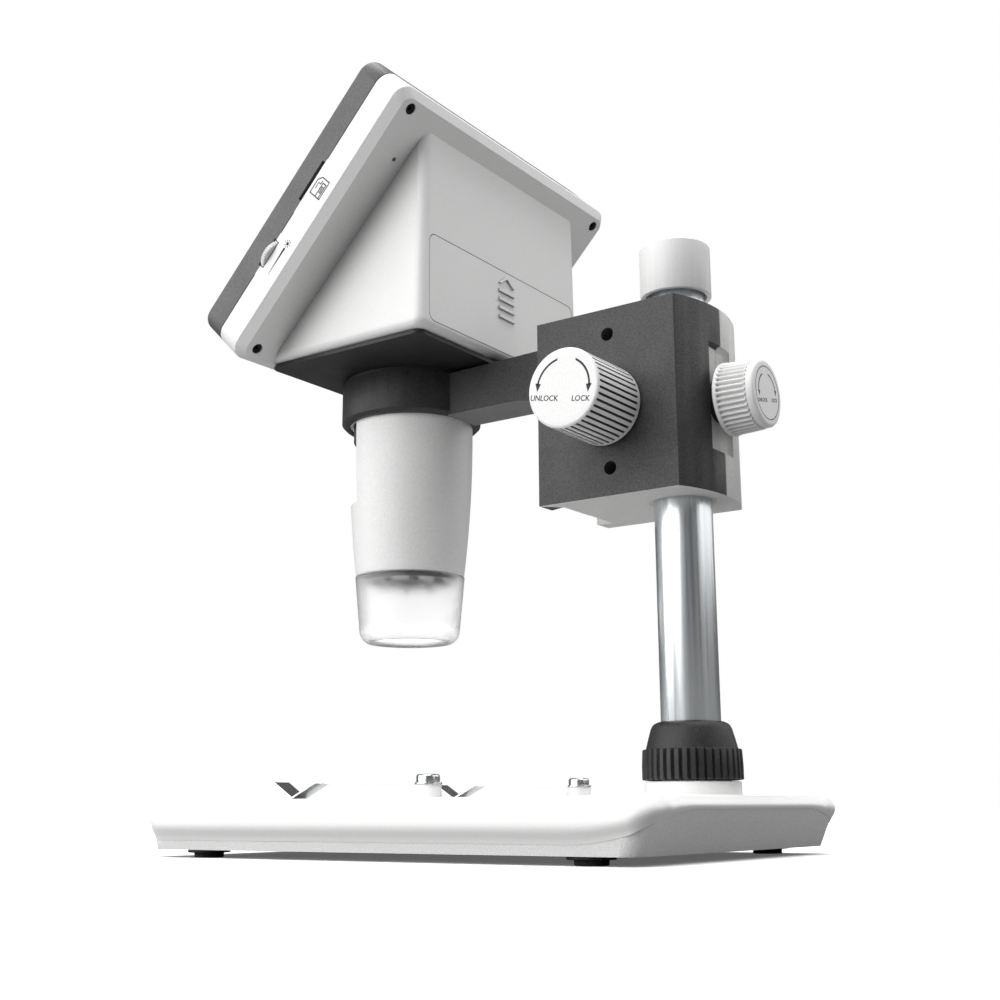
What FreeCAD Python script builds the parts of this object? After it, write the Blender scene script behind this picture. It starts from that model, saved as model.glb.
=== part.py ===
import FreeCAD, Part
import math
import os
import Sketcher

doc = FreeCAD.newDocument("Microscope")


# Driving dimensions, in millimetres and degrees. They are measured from the column's axis, at the
# feet's bottom plane. +X is the user's right, +Y the column side, and +Z up. The user looks along +Y.
DRIVING = {
    # base
    "base_half_width": 62.0, "base_front": 164.0, "base_back": 20.0, "front_corner": 8.0,
    "back_corner": 6.5,
    "tray_bottom": 2.4, "tray_floor": 2.0, "tray_taper_side": 1.8, "tray_taper_back": 5.4,
    "part_low": 5.3, "part_high": 14.0, "part_rise_start": 6.0, "part_rise_end": 17.0,
    "base_top": 17.5, "shell_flare": 1.1, "shell_widest": 9.0, "shell_draft": 2.2,
    "shell_wall": 2.4, "shell_round": 3.2, "plate_thick": 4.0, "plate_rise": 2.0,
    "plate_half_width": 50.0, "plate_front": 150.0, "plate_back": 9.0, "plate_corner": 6.0,
    "foot_pad_radius": 4.55, "foot_pad_height": 1.5, "foot_flange_radius": 6.55,
    "foot_side": 53.5, "foot_near": 2.1, "foot_far": 142.0,
    "tray_screw_side": 40.0, "tray_screw_front": 154.5, "tray_screw_back": 5.0,
    "tray_screw_radius": 1.45, "tray_head_radius": 2.7, "tray_boss_radius": 4.0,
    # column, collet and ring nut
    "column_radius": 8.75, "column_wall": 1.6, "column_top": 181.0,
    "collar_radius": 13.7, "collar_height": 4.1, "collet_wall": 2.2, "collet_top": 34.0,
    "collet_flange": 2.4, "collet_flange_thick": 2.8, "collet_slot": 1.2,
    "nut_radius": 14.6, "nut_rib_top": 30.6, "nut_cone_radius": 11.6, "nut_top": 38.7,
    "nut_ribs": 24.0, "nut_groove": 0.8, "nut_shoulder": 0.7, "thread_gap": 0.3,
    "cap_radius": 11.05, "cap_bottom": 169.4, "cap_top": 185.9, "cap_rim": 1.5, "cap_edge": 0.8,
    # stage clips
    "clip_side": 41.5, "clip_back": 64.7, "clip_boss_radius": 3.95, "clip_boss_height": 3.8,
    "clip_thick": 0.6, "clip_width": 6.5, "clip_run": 41.5, "clip_rise": 0.9, "clip_dip": 9.6,
    "clip_tip": 7.5, "clip_tip_rise": 4.6,
    "clip_pin_radius": 1.6, "clip_nut_radius": 3.45, "clip_nut_height": 2.4,
    # carriage
    "car_half": 20.7, "car_front": 38.5, "car_edge": 9.6, "car_back": 14.5,
    "car_bottom": 104.5, "car_top": 163.0, "car_gap": 0.3,
    "channel_mouth": 13.4, "channel_floor_half": 15.4, "channel_depth": 5.6,
    "pocket_half": 7.0, "pocket_low": 117.5, "pocket_high": 151.0, "pocket_depth": 1.9,
    "bush_wall": 1.35, "run_gap": 0.08, "car_screw_y": 13.1, "car_screw_low": 113.0,
    "car_screw_high": 154.8, "car_hole_radius": 2.1, "car_hole_depth": 12.0,
    "knob_height": 133.7, "rear_knob_start": 16.2, "rear_knob_end": 29.0, "rear_knob_radius": 10.1,
    "stud_radius": 3.0, "stud_boss_radius": 4.5, "insert_radius": 4.8, "shoe_radius": 3.2,
    "side_knob_y": 14.0, "side_knob_z": 132.0, "side_knob_gap": 0.4, "side_knob_length": 23.8,
    "side_knob_radius": 12.2, "knob_groove": 0.55, "rear_knob_ribs": 30.0, "side_knob_ribs": 36.0,
    "knob_rim": 2.6, "bolt_nut_x": 15.5, "bolt_nut_thick": 5.0,
    # arm
    "barrel_y": 105.6, "ring_radius": 24.3, "ring_bottom": 144.6, "ring_top": 159.0,
    "arm_half": 8.0, "arm_under_near": 139.0, "arm_under_far": 144.4, "arm_top": 160.0,
    "slide_bottom": 121.0, "slide_top": 162.0, "slide_gap": 0.15,
    # head: barrel and optics
    "barrel_radius": 21.5, "barrel_low_radius": 18.5, "barrel_bottom": 91.6, "barrel_wall": 2.9,
    "window_half": 17.6, "window_low": 117.5, "window_high": 142.8, "window_depth": 4.0,
    "wheel_radius": 19.8, "wheel_low": 138.0, "wheel_high": 142.4,
    "hub_radius": 9.0, "lens_tube_radius": 7.2, "lens_tube_low": 95.0, "lens_tube_high": 140.0,
    "lens_tube_wall": 1.6, "lens_thick": 2.4, "wheel_grooves": 36.0,
    "board_thick": 1.6, "led_outer": 15.8, "led_inner": 7.6, "led_lamp_radius": 1.6,
    "led_circle": 11.8, "led_count": 8.0,
    "cup_top": 91.6, "cup_radius": 18.7, "cup_low_radius": 17.1, "cup_bend": 73.6,
    "cup_bottom": 69.4, "cup_mouth": 13.3, "cup_wall": 1.5, "cup_round": 2.6,
    # head: display case, in its own tilted frame
    "tilt": 44.0, "hole_y": 127.0, "hole_z": 163.6, "hole_half": 55.15, "hole_pitch": 92.65,
    "hole_radius": 1.9, "case_half": 62.0, "case_low": 6.0, "case_high": 98.4, "case_corner": 5.5,
    "bevel_in": 2.6, "bevel_high": 2.9, "seam": 12.7, "case_deep": 23.0, "case_wall": 2.0,
    "bezel_round": 1.8, "screen_half": 52.0, "screen_low": 30.0, "screen_high": 92.0,
    "glass_thick": 1.0, "view_half": 47.6, "view_low": 35.0, "view_high": 89.0,
    "lcd_half": 52.7, "lcd_low": 25.0, "lcd_high": 92.2, "lcd_thick": 3.0,
    "button_radius": 4.2, "button_s": 12.0, "button_pitch": 15.5, "button_stand": 0.9,
    "button_gap": 0.25, "button_travel": 0.5, "wheel_disc_radius": 6.65, "disc_stand": 1.8,
    "disc_s": 28.2, "disc_thick": 2.2, "slot_low": 48.4, "slot_high": 63.1, "slot_thick": 1.5,
    "usb_s": 58.0, "usb_long": 12.0, "board_low": 8.0,
    "main_board_half": 54.0, "main_board_low": 6.0, "main_board_high": 86.0,
    # head: hump, underside plate and battery door
    "hump_half_low": 46.6, "hump_half_high": 44.6, "hump_back": 64.7, "hump_bottom": 161.8,
    "hump_top": 228.2, "hump_wall": 2.0, "hump_corner": 3.0, "hump_past": 12.0, "hump_round": 2.6,
    "under_thick": 1.5, "under_front": 131.6, "neck_radius": 23.6,
    "door_half": 42.3, "door_low": 164.6, "door_high": 193.7, "door_thick": 1.6, "door_gap": 0.2,
    "door_corner": 3.0, "ridge_half": 4.6, "ridge_low": 176.4, "ridge_pitch": 3.1, "ridge_proud": 0.7,
    "ridge_high": 1.1, "ridge_count": 4.0, "arrow_high": 3.4,
}


class Size:
    """A number that also knows the spreadsheet expression it comes from."""

    def __init__(self, value, words):
        self.value = value
        self.words = words

    def __add__(self, other):
        return Size(self.value + number(other), "(%s + %s)" % (self.words, words(other)))

    def __radd__(self, other):
        return Size(number(other) + self.value, "(%s + %s)" % (words(other), self.words))

    def __sub__(self, other):
        return Size(self.value - number(other), "(%s - %s)" % (self.words, words(other)))

    def __rsub__(self, other):
        return Size(number(other) - self.value, "(%s - %s)" % (words(other), self.words))

    def __mul__(self, other):
        return Size(self.value * number(other), "(%s * %s)" % (self.words, words(other)))

    def __rmul__(self, other):
        return Size(number(other) * self.value, "(%s * %s)" % (words(other), self.words))

    def __truediv__(self, other):
        return Size(self.value / number(other), "(%s / %s)" % (self.words, words(other)))

    def __neg__(self):
        return Size(-self.value, "(0 - %s)" % self.words)


def number(size):
    return size.value if isinstance(size, Size) else float(size)


def words(size):
    return size.words if isinstance(size, Size) else repr(float(size))


sheet = doc.addObject("Spreadsheet::Sheet", "Sizes")
for row, (alias, value) in enumerate(DRIVING.items(), start=1):
    sheet.set("A%d" % row, alias)
    sheet.set("B%d" % row, str(value))
    sheet.setAlias("B%d" % row, alias)
doc.recompute()


class Sizes:
    """Reads a named size from the sheet, with its expression."""

    def __getattr__(self, alias):
        return Size(float(sheet.get(alias)), "Sizes." + alias)


d = Sizes()
nodes = []


def bind(thing, place, size):
    """Set a property from a size, through an expression where the sheet drives it."""
    if isinstance(size, Size):
        thing.setExpression(place, size.words)


def keep(thing, label):
    """Make an object a sub-part of the finished model, under its own name."""
    thing.Label = label
    nodes.append(thing)
    return thing


def place(thing, x=0, y=0, z=0, axis=(0, 0, 1), angle=0):
    rotation = FreeCAD.Rotation(FreeCAD.Vector(*axis), angle)
    thing.Placement = FreeCAD.Placement(FreeCAD.Vector(number(x), number(y), number(z)), rotation)
    for letter, size in (("x", x), ("y", y), ("z", z)):
        bind(thing, "Placement.Base." + letter, size)
    return thing


ALONG = {"z": ((0, 0, 1), 0), "x": ((0, 1, 0), 90), "y": ((1, 0, 0), -90)}


def rod(name, radius, length, x=0, y=0, z=0, along="z"):
    """A cylinder that starts at x, y, z and runs along an axis."""
    thing = doc.addObject("Part::Cylinder", name)
    thing.Radius = number(radius)
    thing.Height = number(length)
    bind(thing, "Radius", radius)
    bind(thing, "Height", length)
    axis, angle = ALONG[along]
    return place(thing, x, y, z, axis, angle)


def block(name, low, high):
    """A box from its lowest to its highest corner."""
    thing = doc.addObject("Part::Box", name)
    for side, first, last in zip(("Length", "Width", "Height"), low, high):
        setattr(thing, side, number(last) - number(first))
        gap = last - first
        bind(thing, side, gap)
    return place(thing, *low)


def fuse(name, *parts):
    thing = doc.addObject("Part::MultiFuse", name)
    thing.Shapes = list(parts)
    return thing


def common(name, *parts):
    thing = doc.addObject("Part::MultiCommon", name)
    thing.Shapes = list(parts)
    return thing


def group(name, *parts):
    """Several like solids that stay separate, kept as one object."""
    thing = doc.addObject("Part::Compound", name)
    thing.Links = list(parts)
    return thing


def cut(name, base, *tools):
    thing = doc.addObject("Part::Cut", name)
    thing.Base = base
    thing.Tool = tools[0] if len(tools) == 1 else fuse(name + "Tools", *tools)
    return thing


def ring(name, outer, inner, length, x=0, y=0, z=0, along="z"):
    whole = rod(name + "Whole", outer, length, x, y, z, along)
    hole = rod(name + "Hole", inner, length, x, y, z, along)
    return cut(name, whole, hole)


def origin_plane(body, role):
    return [plane for plane in body.Origin.OriginFeatures if plane.Role == role][0]


def outline(sketch, points):
    """Draw a closed outline. A point is (x, y), or (x, y, radius) where an arc of that radius, which
    turns left when positive and right when negative, leads to it from the point before."""
    count = len(points)
    spots = [FreeCAD.Vector(number(point[0]), number(point[1]), 0) for point in points]
    for index in range(count):
        start, end = spots[index - 1], spots[index]
        point = points[index]
        if len(point) == 2:
            sketch.addGeometry(Part.LineSegment(start, end), False)
            continue
        bend = number(point[2])
        chord = end - start
        middle = (start + end) * 0.5
        rise = math.sqrt(max(bend * bend - chord.Length ** 2 / 4, 0.0))
        side = FreeCAD.Vector(-chord.y, chord.x, 0)
        side.normalize()
        centre = middle + side * math.copysign(rise, bend)
        first, last = (start, end) if bend > 0 else (end, start)
        angles = [math.atan2(spot.y - centre.y, spot.x - centre.x) for spot in (first, last)]
        circle = Part.Circle(centre, FreeCAD.Vector(0, 0, 1), abs(bend))
        sketch.addGeometry(Part.ArcOfCircle(circle, *angles), False)
    for index in range(count):
        point, after = points[index], points[(index + 1) % count]
        this_end = 2 if len(point) == 2 or number(point[2]) > 0 else 1
        next_start = 1 if len(after) == 2 or number(after[2]) > 0 else 2
        step = (index + 1) % count
        sketch.addConstraint(Sketcher.Constraint("Coincident", index, this_end, step, next_start))
        for kind, size in (("DistanceX", point[0]), ("DistanceY", point[1])):
            spot = sketch.addConstraint(
                Sketcher.Constraint(kind, -1, 1, index, this_end, number(size)))
            bind(sketch, "Constraints[%d]" % spot, size)
        if len(point) == 3:
            bend = point[2] if number(point[2]) > 0 else -point[2]
            spot = sketch.addConstraint(Sketcher.Constraint("Radius", index, number(bend)))
            bind(sketch, "Constraints[%d]" % spot, bend)


def drawing(body, name, role, points, offset=0):
    sketch = body.newObject("Sketcher::SketchObject", name)
    sketch.AttachmentSupport = [(origin_plane(body, role), "")]
    sketch.MapMode = "FlatFace"
    sketch.AttachmentOffset = FreeCAD.Placement(
        FreeCAD.Vector(0, 0, number(offset)), FreeCAD.Rotation())
    bind(sketch, "AttachmentOffset.Base.z", offset)
    outline(sketch, points)
    return sketch


def pad(name, role, points, low, high):
    """A body that is one outline, padded from low to high along its plane's normal."""
    body = doc.addObject("PartDesign::Body", name)
    sketch = drawing(body, name + "Outline", role, points, low)
    feature = body.newObject("PartDesign::Pad", name + "Pad")
    feature.Profile = sketch
    feature.Length = number(high) - number(low)
    bind(feature, "Length", high - low)
    return body


def turned(name, points, y=0):
    """A body turned about a vertical axis from an outline of (radius, height) points."""
    body = doc.addObject("PartDesign::Body", name)
    sketch = drawing(body, name + "Profile", "XZ_Plane", points)
    feature = body.newObject("PartDesign::Revolution", name + "Turn")
    feature.Profile = sketch
    feature.ReferenceAxis = (sketch, ["V_Axis"])
    feature.Angle = 360
    return place(body, 0, y, 0)


def lofted(name, sections, ruled=True):
    """A body lofted through outlines on planes parallel to XY, each given with its height."""
    body = doc.addObject("PartDesign::Body", name)
    sketches = []
    for index, (points, height) in enumerate(sections):
        sketches.append(drawing(body, "%sSection%d" % (name, index), "XY_Plane", points, height))
    feature = body.newObject("PartDesign::AdditiveLoft", name + "Loft")
    feature.Profile = sketches[0]
    feature.Sections = sketches[1:]
    feature.Ruled = ruled
    return body


def soft_box(x0, x1, y0, y1, corner):
    """The outline of a rectangle with round corners."""
    return [
        (x0 + corner, y0), (x1 - corner, y0), (x1, y0 + corner, corner), (x1, y1 - corner),
        (x1 - corner, y1, corner), (x0 + corner, y1), (x0, y1 - corner, corner),
        (x0, y0 + corner), (x0 + corner, y0, corner)][1:]


def rounded(name, base, radius, test):
    """Round the edges of an object that pass a test."""
    doc.recompute()
    thing = doc.addObject("Part::Fillet", name)
    thing.Base = base
    picked = [i + 1 for i, edge in enumerate(base.Shape.Edges) if test(edge)]
    thing.Edges = [(i, number(radius), number(radius)) for i in picked]
    return thing


def spread(name, piece, count, centre_y=0, along=(0, 0, 1), centre=None):
    """Copies of a cutter set evenly round an axis, joined as one tool."""
    copies = []
    middle = centre or FreeCAD.Vector(0, number(centre_y), 0)
    for index in range(count):
        link = doc.addObject("Part::Feature", "%s%d" % (name, index))
        shape = piece.Shape.copy()
        shape.rotate(middle, FreeCAD.Vector(*along), 360.0 * index / count)
        link.Shape = shape
        copies.append(link)
    return group(name, *copies)


# BASE
far = 200.0

# The parting line runs low along the sides and climbs in an S of two arcs near the back.
rise_start = -d.part_rise_start
rise_end = d.part_rise_end
rise_run = (rise_end - rise_start) / 2
rise_step = (d.part_high - d.part_low) / 2
rise_bend = (rise_run * rise_run + rise_step * rise_step) / (rise_step * 2)
s_curve = [
    (rise_start, d.part_low), (rise_start + rise_run, d.part_low + rise_step, rise_bend),
    (rise_end, d.part_high, -rise_bend)]
above = pad("AbovePartingLine", "YZ_Plane", s_curve + [
    (far, d.part_high), (far, far), (-far, far), (-far, d.part_low)], -far, far)
below = pad("BelowPartingLine", "YZ_Plane", [
    (-far, d.part_low), (-far, -far), (far, -far), (far, d.part_high), (rise_end, d.part_high),
    (rise_start + rise_run, d.part_low + rise_step, rise_bend),
    (rise_start, d.part_low, -rise_bend)], -far, far)


def base_outline(inset, back_inset=None):
    """The base's outline in plan, drawn in from its widest line."""
    back = inset if back_inset is None else back_inset
    side, near, rear = d.base_half_width - inset, inset - d.base_front, d.base_back - back
    front, corner = d.front_corner - inset, d.back_corner - inset
    return [
        (side - front, near), (side, near + front, front), (side, rear - corner),
        (side - corner, rear, corner), (-side + corner, rear), (-side, rear - corner, corner),
        (-side, near + front), (-side + front, near, front)]


tray_form = lofted("TrayForm", [
    (base_outline(d.tray_taper_side, d.tray_taper_back), d.tray_bottom),
    (base_outline(0.0), d.part_high + 1)])
tray_inside = lofted("TrayInside", [
    (base_outline(d.tray_taper_side + d.shell_wall, d.tray_taper_back + d.shell_wall),
     d.tray_bottom + d.tray_floor),
    (base_outline(d.shell_wall), d.part_high + 2)])
screw_spots = [(sign * d.tray_screw_side, spot) for sign in (-1, 1)
               for spot in (-d.tray_screw_front, d.tray_screw_back)]
tray_top = d.tray_bottom + d.tray_floor
plate_low = tray_top + d.plate_rise
roof = d.base_top - d.shell_wall
thread_clear = 0.05
tray_posts, tray_holes, shell_posts, shell_holes, tray_screws = [], [], [], [], []
for index, (x, y) in enumerate(screw_spots):
    name = "TrayScrew%d" % index
    tray_posts.append(rod(name + "Post", d.tray_boss_radius, d.plate_rise, x, y, tray_top))
    tray_holes.append(rod(name + "Way", d.tray_screw_radius + thread_clear, far, x, y, 0))
    tray_holes.append(rod(name + "Sink", d.tray_head_radius + d.thread_gap, d.tray_floor,
                          x, y, d.tray_bottom))
    shell_posts.append(rod(name + "Boss", d.tray_boss_radius, roof - plate_low, x, y, plate_low))
    shell_holes.append(rod(name + "Pilot", d.tray_screw_radius + thread_clear,
                           roof - plate_low - 1, x, y, plate_low))
    head = rod(name + "Head", d.tray_head_radius, d.tray_floor - thread_clear, x, y,
               d.tray_bottom + thread_clear)
    shank = rod(name + "Shank", d.tray_screw_radius, roof - tray_top - d.plate_rise, x, y, tray_top)
    tray_screws.append(fuse(name, head, shank))
plate_posts = [rod("PlatePost%d" % i, d.tray_boss_radius, d.plate_rise, x, y, tray_top)
               for i, (x, y) in enumerate([(sx * d.foot_side * 0.6, y) for sx in (-1, 1)
                                           for y in (-d.foot_far, -d.foot_near)])]
tray_open = cut("TrayOpen", tray_form, tray_inside, above)
tray_solid = fuse("TraySolid", tray_open, *tray_posts, *plate_posts)
keep(cut("Tray", tray_solid, *tray_holes), "base_tray")
keep(group("TrayScrews", *tray_screws), "tray_screws")

round_steps = 5
shell_sections = [
    (base_outline(0.0), d.part_low - 1), (base_outline(-d.shell_flare), d.shell_widest)]
for step in range(round_steps + 1):
    turn = math.radians(90.0 * step / round_steps)
    shell_sections.append((
        base_outline(d.shell_draft + d.shell_round * (1 - math.cos(turn))),
        d.base_top - d.shell_round * (1 - math.sin(turn))))
shell_form = lofted("ShellForm", shell_sections)
shell_inside = lofted("ShellInside", [
    (base_outline(d.shell_wall), -far), (base_outline(d.shell_wall), d.shell_widest),
    (base_outline(d.shell_draft + d.shell_wall), roof)])
shell_open = cut("ShellOpen", shell_form, shell_inside, below)
collar = rod("Collar", d.collar_radius, d.collar_height + d.shell_wall, 0, 0, roof)
collet_radius = d.column_radius + d.run_gap + d.collet_wall
collet_hole = rod("CollarBore", collet_radius + thread_clear, far, 0, 0, d.part_low)
clip_top = d.base_top + d.clip_boss_height
clip_bosses, clip_holes = [], []
for sign in (-1, 1):
    side = "Right" if sign > 0 else "Left"
    clip_bosses.append(rod("ClipBoss" + side, d.clip_boss_radius, d.clip_boss_height + 1,
                           sign * d.clip_side, -d.clip_back, d.base_top - 1))
    clip_holes.append(rod("ClipBossHole" + side, d.clip_pin_radius + thread_clear,
                          d.clip_boss_height, sign * d.clip_side, -d.clip_back, d.base_top))
shell_solid = fuse("ShellSolid", shell_open, collar, *clip_bosses, *shell_posts)
keep(cut("Shell", shell_solid, collet_hole, *clip_holes, *shell_holes), "base_shell")

feet = []
for index, (x, y) in enumerate([(sx * d.foot_side, y) for sx in (-1, 1)
                                for y in (-d.foot_far, -d.foot_near)]):
    name = "Foot%d" % index
    foot_pad = rod(name + "Pad", d.foot_pad_radius, d.foot_pad_height, x, y, 0)
    flange = rod(name + "Flange", d.foot_flange_radius, d.tray_bottom - d.foot_pad_height,
                 x, y, d.foot_pad_height)
    feet.append(fuse(name, foot_pad, flange))
keep(group("Feet", *feet), "rubber_feet")

ballast = pad("Ballast", "XY_Plane", soft_box(
    -d.plate_half_width, d.plate_half_width, -d.plate_front, d.plate_back, d.plate_corner),
    plate_low, plate_low + d.plate_thick)
ballast_ways = [rod("BallastWay%d" % i, d.tray_boss_radius + 1, far, x, y, 0)
                for i, (x, y) in enumerate(screw_spots)]
keep(cut("BallastPlate", ballast, *ballast_ways), "ballast_plate")

# COLLET, RING NUT, COLUMN AND CAP
column_foot = plate_low + d.plate_thick
collet_bore = d.column_radius + d.run_gap
collet_body = turned("ColletTurned", [
    (collet_bore, roof - d.collet_flange_thick),
    (collet_radius + d.collet_flange, roof - d.collet_flange_thick),
    (collet_radius + d.collet_flange, roof), (collet_radius, roof),
    (collet_radius, d.collet_top), (collet_bore, d.collet_top)])
collar_top = d.base_top + d.collar_height
slots = [block("ColletSlot%d" % i, low, high) for i, (low, high) in enumerate((
    ((-far, -d.collet_slot / 2, collar_top + 4), (far, d.collet_slot / 2, far)),
    ((-d.collet_slot / 2, -far, collar_top + 4), (d.collet_slot / 2, far, far))))]
keep(cut("Collet", collet_body, *slots), "split_collet")
nut_bore = collet_radius + d.thread_gap
nut_foot = collar_top + d.thread_gap
nut_body = turned("NutTurned", [
    (nut_bore, nut_foot), (d.nut_radius, nut_foot), (d.nut_radius, d.nut_rib_top),
    (d.nut_radius - d.nut_shoulder, d.nut_rib_top + d.thread_gap), (d.nut_cone_radius, d.nut_top - 0.9),
    (d.nut_cone_radius - 0.9, d.nut_top), (d.column_radius + d.thread_gap, d.nut_top),
    (d.column_radius + d.thread_gap, d.collet_top + 2), (nut_bore, d.collet_top + 0.4)])
nut_groove = rod("NutGroove", d.nut_groove, d.nut_rib_top - nut_foot, d.nut_radius + 0.2, 0,
                 nut_foot)
doc.recompute()
nut_grooves = spread("NutGrooves", nut_groove, int(number(d.nut_ribs)))
keep(cut("RingNut", nut_body, nut_grooves), "ring_nut")
keep(ring("ColumnTube", d.column_radius, d.column_radius - d.column_wall,
          d.column_top - column_foot, 0, 0, column_foot), "column_tube")
cap_bore = d.column_radius + thread_clear
keep(turned("Cap", [
    (0.0, d.column_top), (cap_bore, d.column_top), (cap_bore, d.cap_bottom + 3),
    (d.cap_radius - d.cap_rim, d.cap_bottom + 3), (d.cap_radius - d.cap_rim, d.cap_bottom),
    (d.cap_radius, d.cap_bottom), (d.cap_radius, d.cap_top - d.cap_edge),
    (d.cap_radius - d.cap_edge, d.cap_top, d.cap_edge), (0.0, d.cap_top)]), "column_cap")

# STAGE CLIPS
touch = d.base_top + 0.1
run_end = -d.clip_back - d.clip_run
clip_line = [
    (-d.clip_back, clip_top), (run_end, clip_top + d.clip_rise),
    (run_end - d.clip_dip, touch), (run_end - d.clip_dip - d.clip_tip, touch + d.clip_tip_rise)]
clip_profile = clip_line + [(y, z + d.clip_thick) for y, z in reversed(clip_line)]
clip_nuts = []
for sign, side in ((-1, "left"), (1, "right")):
    middle = sign * d.clip_side
    strip = pad("ClipStrip" + side, "YZ_Plane", clip_profile[::-1],
                middle - d.clip_width / 2, middle + d.clip_width / 2)
    eye = rod("ClipEye" + side, d.clip_boss_radius + 0.15, d.clip_thick, middle, -d.clip_back,
              clip_top)
    eye_room = rod("ClipEyeRoom" + side, d.clip_boss_radius + 0.15, 3.0, middle, -d.clip_back,
                   clip_top + d.clip_thick)
    hole = rod("ClipHole" + side, d.clip_pin_radius + d.run_gap, far, middle, -d.clip_back, 0)
    keep(cut("Clip" + side, fuse("ClipWhole" + side, strip, eye), hole, eye_room),
         side + "_stage_clip")
    head = rod("ClipNutHead" + side, d.clip_nut_radius, d.clip_nut_height, middle,
               -d.clip_back, clip_top + d.clip_thick)
    soft_head = rounded("ClipNutSoft" + side, head, 0.4,
                        lambda edge: edge.BoundBox.ZMin > number(
                            clip_top + d.clip_thick + d.clip_nut_height) - 0.01)
    pin = rod("ClipPin" + side, d.clip_pin_radius, d.clip_boss_height + d.clip_thick, middle,
              -d.clip_back, d.base_top)
    clip_nuts.append(fuse("ClipNut" + side, soft_head, pin))
keep(group("ClipNuts", *clip_nuts), "clip_nuts")

# CARRIAGE
bush_radius = collet_bore + d.bush_wall
split = d.car_gap / 2
back_rise = d.car_back - d.car_edge
back_bend = (d.car_half * d.car_half + back_rise * back_rise) / (back_rise * 2)
channel_y = d.channel_depth - d.car_front
right_half = pad("RightHalf", "XY_Plane", [
    (split, channel_y), (d.channel_floor_half, channel_y), (d.channel_mouth, -d.car_front),
    (d.car_half, -d.car_front), (d.car_half, d.car_edge), (split, d.car_back, back_bend)],
    d.car_bottom, d.car_top)
left_half = pad("LeftHalf", "XY_Plane", [
    (-split, channel_y), (-split, d.car_back), (-d.car_half, d.car_edge, back_bend),
    (-d.car_half, -d.car_front), (-d.channel_mouth, -d.car_front),
    (-d.channel_floor_half, channel_y)], d.car_bottom, d.car_top)
pocket_floor = d.car_back - d.pocket_depth
screw_x = d.car_half - d.car_hole_depth
bolt_hole = rod("BoltHole", d.stud_radius + d.run_gap, far * 2, -far, -d.side_knob_y,
                d.side_knob_z, "x")
bolt_nut_room = rod("BoltNutRoom", d.stud_radius + 2 + thread_clear, d.bolt_nut_thick,
                    -d.bolt_nut_x, -d.side_knob_y, d.side_knob_z, "x")
bolt_end = rod("BoltEndStop", far / 2, far, -far - d.bolt_nut_x - 1.5, -d.side_knob_y,
               d.side_knob_z, "x")
bolt_way = cut("BoltWay", bolt_hole, bolt_end)
column_way = rod("ColumnWay", bush_radius + thread_clear, far * 2, 0, 0, -far)
pocket = block("KnobPocket", (-d.pocket_half, pocket_floor, d.pocket_low),
               (d.pocket_half, far, d.pocket_high))
pocket_soft = rounded("KnobPocketSoft", pocket, 1.6, lambda edge: abs(
    edge.BoundBox.YMin - number(pocket_floor)) > 0.01 or edge.BoundBox.YLength < 0.01)
insert_room = rod("InsertRoom", d.insert_radius + thread_clear, pocket_floor, 0, 0,
                  d.knob_height, "y")
car_cuts = [column_way, pocket_soft, insert_room, bolt_way, bolt_nut_room]
for index, z in enumerate((d.car_screw_low, d.car_screw_high)):
    name = "CarriageScrew%d" % index
    car_cuts.append(rod(name + "Hole", d.car_hole_radius, far, screw_x, -d.car_screw_y, z, "x"))
    car_cuts.append(rod(name + "Way", d.tray_screw_radius + thread_clear, screw_x * 2 + 2,
                        -screw_x - 2, -d.car_screw_y, z, "x"))
keep(cut("RightShell", right_half, *car_cuts), "carriage_shell_right")
keep(cut("LeftShell", left_half, *car_cuts), "carriage_shell_left")
car_screws = []
for index, z in enumerate((d.car_screw_low, d.car_screw_high)):
    name = "CarriageScrew%d" % index
    head = rod(name + "Head", d.car_hole_radius - 0.15, 2.0, screw_x, -d.car_screw_y, z, "x")
    shank = rod(name + "Shank", d.tray_screw_radius, screw_x * 2 + 1, -screw_x - 1,
                -d.car_screw_y, z, "x")
    car_screws.append(fuse(name, head, shank))
keep(group("CarriageScrews", *car_screws), "carriage_screws")
bush = ring("Bush", bush_radius, collet_bore, d.car_top - d.car_bottom, 0, 0, d.car_bottom)
keep(cut("BushTube", bush, rod("BushWindow", d.shoe_radius + 0.2, far, 0, 0, d.knob_height, "y")),
     "column_bush")
shoe = rod("Shoe", d.shoe_radius, bush_radius - d.run_gap, 0, 0, d.knob_height, "y")
keep(cut("ShoePad", shoe, rod("ShoeHollow", collet_bore, far * 2, 0, 0, -far)), "clamp_shoe")
stud_tip = bush_radius
insert = rod("Insert", d.insert_radius, pocket_floor - stud_tip - 0.1, 0, stud_tip + 0.1,
             d.knob_height, "y")
keep(cut("BrassInsert", insert, rod("InsertBore", d.stud_radius + d.run_gap, far, 0, 0,
                                    d.knob_height, "y")), "lock_insert")
stud = rod("Stud", d.stud_radius, d.rear_knob_end - stud_tip - 4, 0, stud_tip, d.knob_height, "y")
stud_boss = rod("StudBoss", d.stud_boss_radius, d.rear_knob_start - pocket_floor - 0.3, 0,
                pocket_floor + 0.3, d.knob_height, "y")
keep(fuse("LockStud", stud, stud_boss), "lock_stud")
bolt_start = -d.bolt_nut_x - 1
bolt_finish = d.car_half + d.side_knob_length - 5
keep(rod("ClampBolt", d.stud_radius, bolt_finish - bolt_start, bolt_start, -d.side_knob_y,
         d.side_knob_z, "x"), "clamp_bolt")
bolt_nut = rod("BoltNut", d.stud_radius + 2, d.bolt_nut_thick, -d.bolt_nut_x, -d.side_knob_y,
               d.side_knob_z, "x")
keep(cut("BoltNutBored", bolt_nut, rod("BoltNutBore", d.stud_radius + d.run_gap, far, -far / 2,
                                       -d.side_knob_y, d.side_knob_z, "x")), "clamp_nut")


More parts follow.
